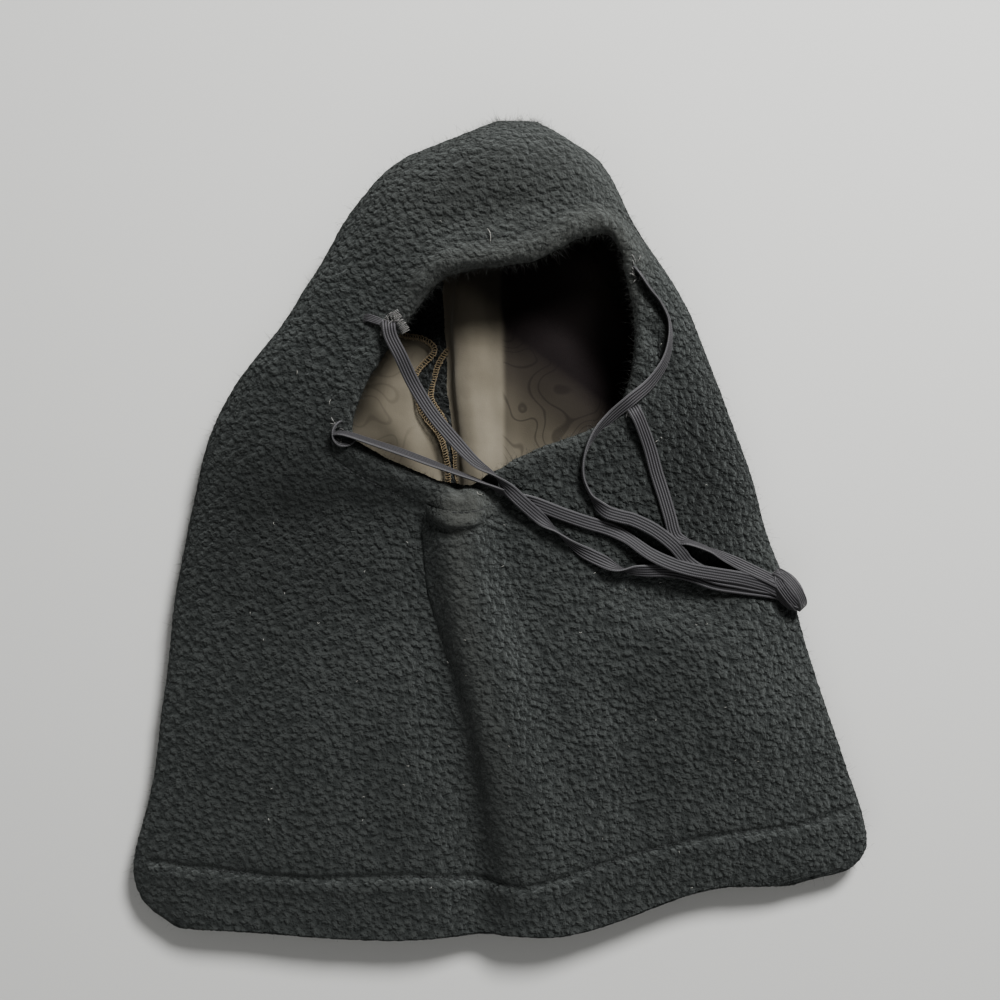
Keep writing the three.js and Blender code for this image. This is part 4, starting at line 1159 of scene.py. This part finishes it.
def casingTop(x, y):
    away = np.hypot(rim[:, 0] - x, rim[:, 1] - y)
    i = int(np.argmin(away))
    brow = float(smoothStep(y, 78, 112) * (1 - 0.75 * smoothStep(rim[i, 0], 48, 58)))
    size = casing["roll"] + (casing["browRoll"] - casing["roll"]) * brow
    share = np.interp(away[i], [0, 3, 6, 10, 13.5], [0.1, 0.75, 1, 0.7, 0])
    return float(surfaceZ(x, y)) + 0.2 + size * share, slowOutward[i]


for name, (sx, sy) in slits.items():
    top, out = casingTop(sx, sy)
    lengthwise = np.array([out[1], -out[0]])
    lines = []
    for k in range(buttonhole["stitches"]):
        turn = 2 * math.pi * k / buttonhole["stitches"]
        ring = np.array([math.cos(turn) * buttonhole["half"], math.sin(turn) * buttonhole["wide"]])
        outer = np.array([math.cos(turn) * (buttonhole["half"] + buttonhole["band"]),
                          math.sin(turn) * (buttonhole["wide"] + buttonhole["band"])])
        line = []
        for t in np.linspace(0, 1, 6):
            local = ring * (1 - t) + outer * t
            x, y = np.array([sx, sy]) + lengthwise * local[0] + out * local[1]
            z = casingTop(x, y)[0]
            line.append((x, y, z - 0.35 + 0.6 * math.sin(t * math.pi) + 0.15 * scatter.random()))
        lines.append(line)
    for _ in range(buttonhole["frays"]):
        turn = scatter.uniform(0, 2 * math.pi)
        local = np.array([math.cos(turn) * buttonhole["half"], math.sin(turn) * buttonhole["wide"]])
        x, y = np.array([sx, sy]) + lengthwise * local[0] + out * local[1]
        z = casingTop(x, y)[0]
        wander = [3.2 * scatter.uniform(-1, 1) for _ in range(2)]
        bend = [1.6 * scatter.uniform(-1, 1) for _ in range(2)]
        lines.append([(x + wander[0] * t + bend[0] * t * t, y + wander[1] * t + bend[1] * t * t,
                       z + 0.3 + 1.3 * math.sin(t * 2.6)) for t in np.linspace(0, 1, 8)])
    if name == "upper_left":      # its whipping shows beside the leg as a short slanting bar
        for t in np.linspace(0, 1, 17):
            x, y = -47.2 + 5.2 * t, 98.6 - 8.6 * t
            z = casingTop(x, y)[0]
            slant = scatter.uniform(-0.5, 0.5)
            lines.append([(x - 1.7 * k, y - (1.1 + slant) * k, z + 0.2 + 0.7 * (1 - k * k))
                          for k in (-1, -0.5, 0, 0.5, 1)])
    threadPiece("buttonhole_" + name, lines, buttonhole["radius"], holeThread, "buttonhole_" + name)
print("buttonholes made")

# ends of the cased elastics showing at the slits on the -X side
elasticEnds = {
    "elasticEndUpper": {"width": 3.6, "turns": (20, 10, 0, 30, 70, 80),
                        "way": [(-62.5, 95.8, 41.0), (-59.5, 96.6, 44.6), (-55.5, 95.4, 45.6),
                                (-51.5, 93.6, 45.8), (-49.2, 91.4, 45.2), (-48.2, 88.6, 43.6)]},
    "elasticEndLower": {"width": 4.4, "turns": (84, 86, 84, 66, 34, 30, 40),
                        "way": [(-70.4, 51.0, 34.2), (-73.2, 49.8, 36.0), (-75.2, 46.8, 36.8),
                                (-74.8, 43.2, 36.4), (-72.0, 41.0, 36.2), (-68.6, 41.4, 35.6),
                                (-66.8, 43.2, 34.0)]},
}
endThickness, endRibDepth = 1.1 * mm, 0.25 * mm
for name, end in elasticEnds.items():
    path = throughPoints(end["way"], 0.5)
    last = len(end["turns"]) - 1
    turns = np.interp(np.linspace(0, last, len(path)), range(last + 1), end["turns"])
    piece = ribbonPiece(name, path * mm, turns, end["width"] * mm, endThickness, endRibDepth)[0]
    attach(piece, "hood")
print("elastic ends made")

# lint caught on the pile
lint = {"radius": 0.11, "specks": 60}
lintDraw = np.random.default_rng(5)
lintLines = []
lintSpots = [(-5.5, 134.5, 6.5), (-92, 74, 2.2), (-76.5, 60.5, 2.4), (72, 42, 1.4), (-8, 18, 2.6)]
lintSpots += [(x, y, 1.0) for x, y in zip(lintDraw.uniform(-120, 120, lint["specks"]),
                                          lintDraw.uniform(-165, 140, lint["specks"]))]
for x, y, size in lintSpots:
    edges = section(np.array(y), np.array(0.0), 0.0)
    aside = abs((x - float(edges["middle"])) / float(edges["half"]))
    if aside > 0.86 or -78 < x < 72 and 10 < y < 128 and size < 1.3:
        continue
    aim = lintDraw.uniform(0, 2 * math.pi)
    curl = lintDraw.uniform(-1.6, 1.6)
    line = []
    for t in np.linspace(0, 1, 9):
        px = x + size * t * math.cos(aim + curl * t)
        py = y + size * t * math.sin(aim + curl * t)
        line.append((px, py, float(surfaceZ(px, py)) + 0.5 + 0.5 * math.sin(3 * t)))
    lintLines.append(line)
threadPiece("lint", lintLines, lint["radius"], lintThread)
print("lint made")

# knot: the four elastics wound round each other
knot = {"centre": (133.4, -26.8, 20.8), "halves": (9.2, 4.7, 4.7), "aim": (0.60, -0.80), "width": 5.2,
        "thickness": 1.2, "ribDepth": 0.34}
# each wrap: its way, lean in degrees (along) or place on the core in millimetres (across), lift, from, to
knotWraps = [("along", 72, 0.5, -12, 176), ("along", 30, 1.1, 4, 168), ("along", -18, 0.6, 0, 180),
             ("along", -62, 0.3, 0, 170), ("across", -5.4, 0.6, -70, 250), ("along", 112, 0.1, -10, 185)]


def knotPiece():
    centre, halves = np.array(knot["centre"]), np.array(knot["halves"])
    long = np.array([*knot["aim"], 0.0])
    wide = np.array([-long[1], long[0], 0.0])
    axes = np.stack([long, wide, (0, 0, 1.0)])
    allPoints, allFaces, across, ribbed, along = [], [], [], [], []

    def take(points, faces, share, ribs, run):
        base = sum(len(p) for p in allPoints)
        allPoints.append(points)
        allFaces.extend(tuple(base + i for i in face) for face in faces)
        across.append(share)
        ribbed.append(ribs)
        along.append(run)

    rows, columns = 18, 28
    lean, turn = np.meshgrid(np.linspace(0.06, math.pi - 0.06, rows),
                             np.linspace(0, 2 * math.pi, columns, endpoint=False), indexing="ij")
    ball = np.stack([np.cos(lean), np.sin(lean) * np.cos(turn), np.sin(lean) * np.sin(turn)], axis=-1)
    core = centre + (ball * halves * 0.96) @ axes
    take(core.reshape(-1, 3), tubeFaces(rows, columns),
         (turn / (2 * math.pi) * 4 % 1).ravel(), np.ones(rows * columns), (lean * 10).ravel())
    steps = 70
    for way, place, lift, first, last in knotWraps:
        angle = np.radians(np.linspace(first, last, steps))
        if way == "along":
            tip = math.radians(place)
            local = np.stack([np.cos(angle), np.sin(angle) * math.sin(tip),
                              np.sin(angle) * math.cos(tip)], axis=1)
            local *= halves + lift
        else:
            inset = math.sqrt(1 - (place / halves[0]) ** 2)
            local = np.stack([np.zeros(steps), np.cos(angle), np.sin(angle)], axis=1)
            local *= (halves + lift) * inset
            local[:, 0] = place
        path = centre + local @ axes
        normal = (local / halves ** 2) @ axes
        normal /= np.linalg.norm(normal, axis=1)[:, None]
        run = np.gradient(path, axis=0)
        run /= np.linalg.norm(run, axis=1)[:, None]
        side = np.cross(run, normal)
        side /= np.linalg.norm(side, axis=1)[:, None]
        share = np.linspace(0, 1, 26)
        rib = np.abs(np.sin(math.pi * elasticSet["ribs"] * share)) ** 0.7 * knot["ribDepth"]
        loopShare = np.concatenate([share, share[::-1]])
        height = np.concatenate([rib + knot["thickness"] / 2, np.full(26, -knot["thickness"] / 2)])
        points = (path[:, None, :] + side[:, None, :] * ((loopShare - 0.5) * knot["width"])[None, :, None]
                  + normal[:, None, :] * height[None, :, None])
        take(points.reshape(-1, 3), tubeFaces(steps, 52), np.tile(loopShare, steps),
             np.ones(steps * 52), np.repeat(np.arange(steps) * 0.5, 52))
    made = newPiece("elasticKnot", np.vstack(allPoints) * mm, allFaces, elastic)
    giveValue(made, "across", np.concatenate(across))
    giveValue(made, "ribbed", np.concatenate(ribbed))
    giveValue(made, "along", np.concatenate(along))
    return made


elasticKnot = knotPiece()
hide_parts("elastic_knot")
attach(elasticKnot, "knot")
print("knot made")

for leg, (piece, path, length) in legPieces.items():
    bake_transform(piece)

# elastics inside the casings keep their own solids
for node in ("brow_elastic", "chin_elastic"):
    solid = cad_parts[node]
    solid.data.materials.clear()
    solid.data.materials.append(elastic)

# floor and light
floorSet = {"half": 1.5, "drop": 0.0004, "colour": (0.50, 0.50, 0.485, 1)}
floorMesh = bpy.data.meshes.new("floor")
floorMesh.from_pydata([(floorSet["half"] * x, floorSet["half"] * y, -floorSet["drop"])
                       for x, y in ((-1, -1), (1, -1), (1, 1), (-1, 1))], [], [(0, 1, 2, 3)])
floor = bpy.data.objects.new("floor", floorMesh)
bpy.context.collection.objects.link(floor)
floorLook = Shader("paleFloor")
floorLook.set(Base_Color=floorSet["colour"], Roughness=0.9)
floorMesh.materials.append(floorLook.material)

lights = {"key": {"at": (0.42, 0.80, 0.98), "size": 0.40, "power": 30.0},
          "fill": {"at": (-0.35, -0.95, 1.25), "size": 1.4, "power": 5.0}}
lightsAim, worldStrength = Vector((0, 0, 0.02)), 0.2
for name, light in lights.items():
    data = bpy.data.lights.new(name, "AREA")
    data.shape = "DISK"
    data.size = light["size"]
    data.energy = light["power"]
    lamp = bpy.data.objects.new(name, data)
    lamp.location = light["at"]
    lamp.rotation_euler = (lightsAim - Vector(light["at"])).to_track_quat("-Z", "Y").to_euler()
    bpy.context.collection.objects.link(lamp)
world = bpy.data.worlds.new("studio")
world.use_nodes = True
background = world.node_tree.nodes["Background"]
background.inputs["Color"].default_value = (1.0, 1.0, 1.0, 1)
background.inputs["Strength"].default_value = worldStrength
bpy.context.scene.world = world
bpy.context.scene.view_settings.look = "AgX - Medium High Contrast"
print("floor and lights placed")
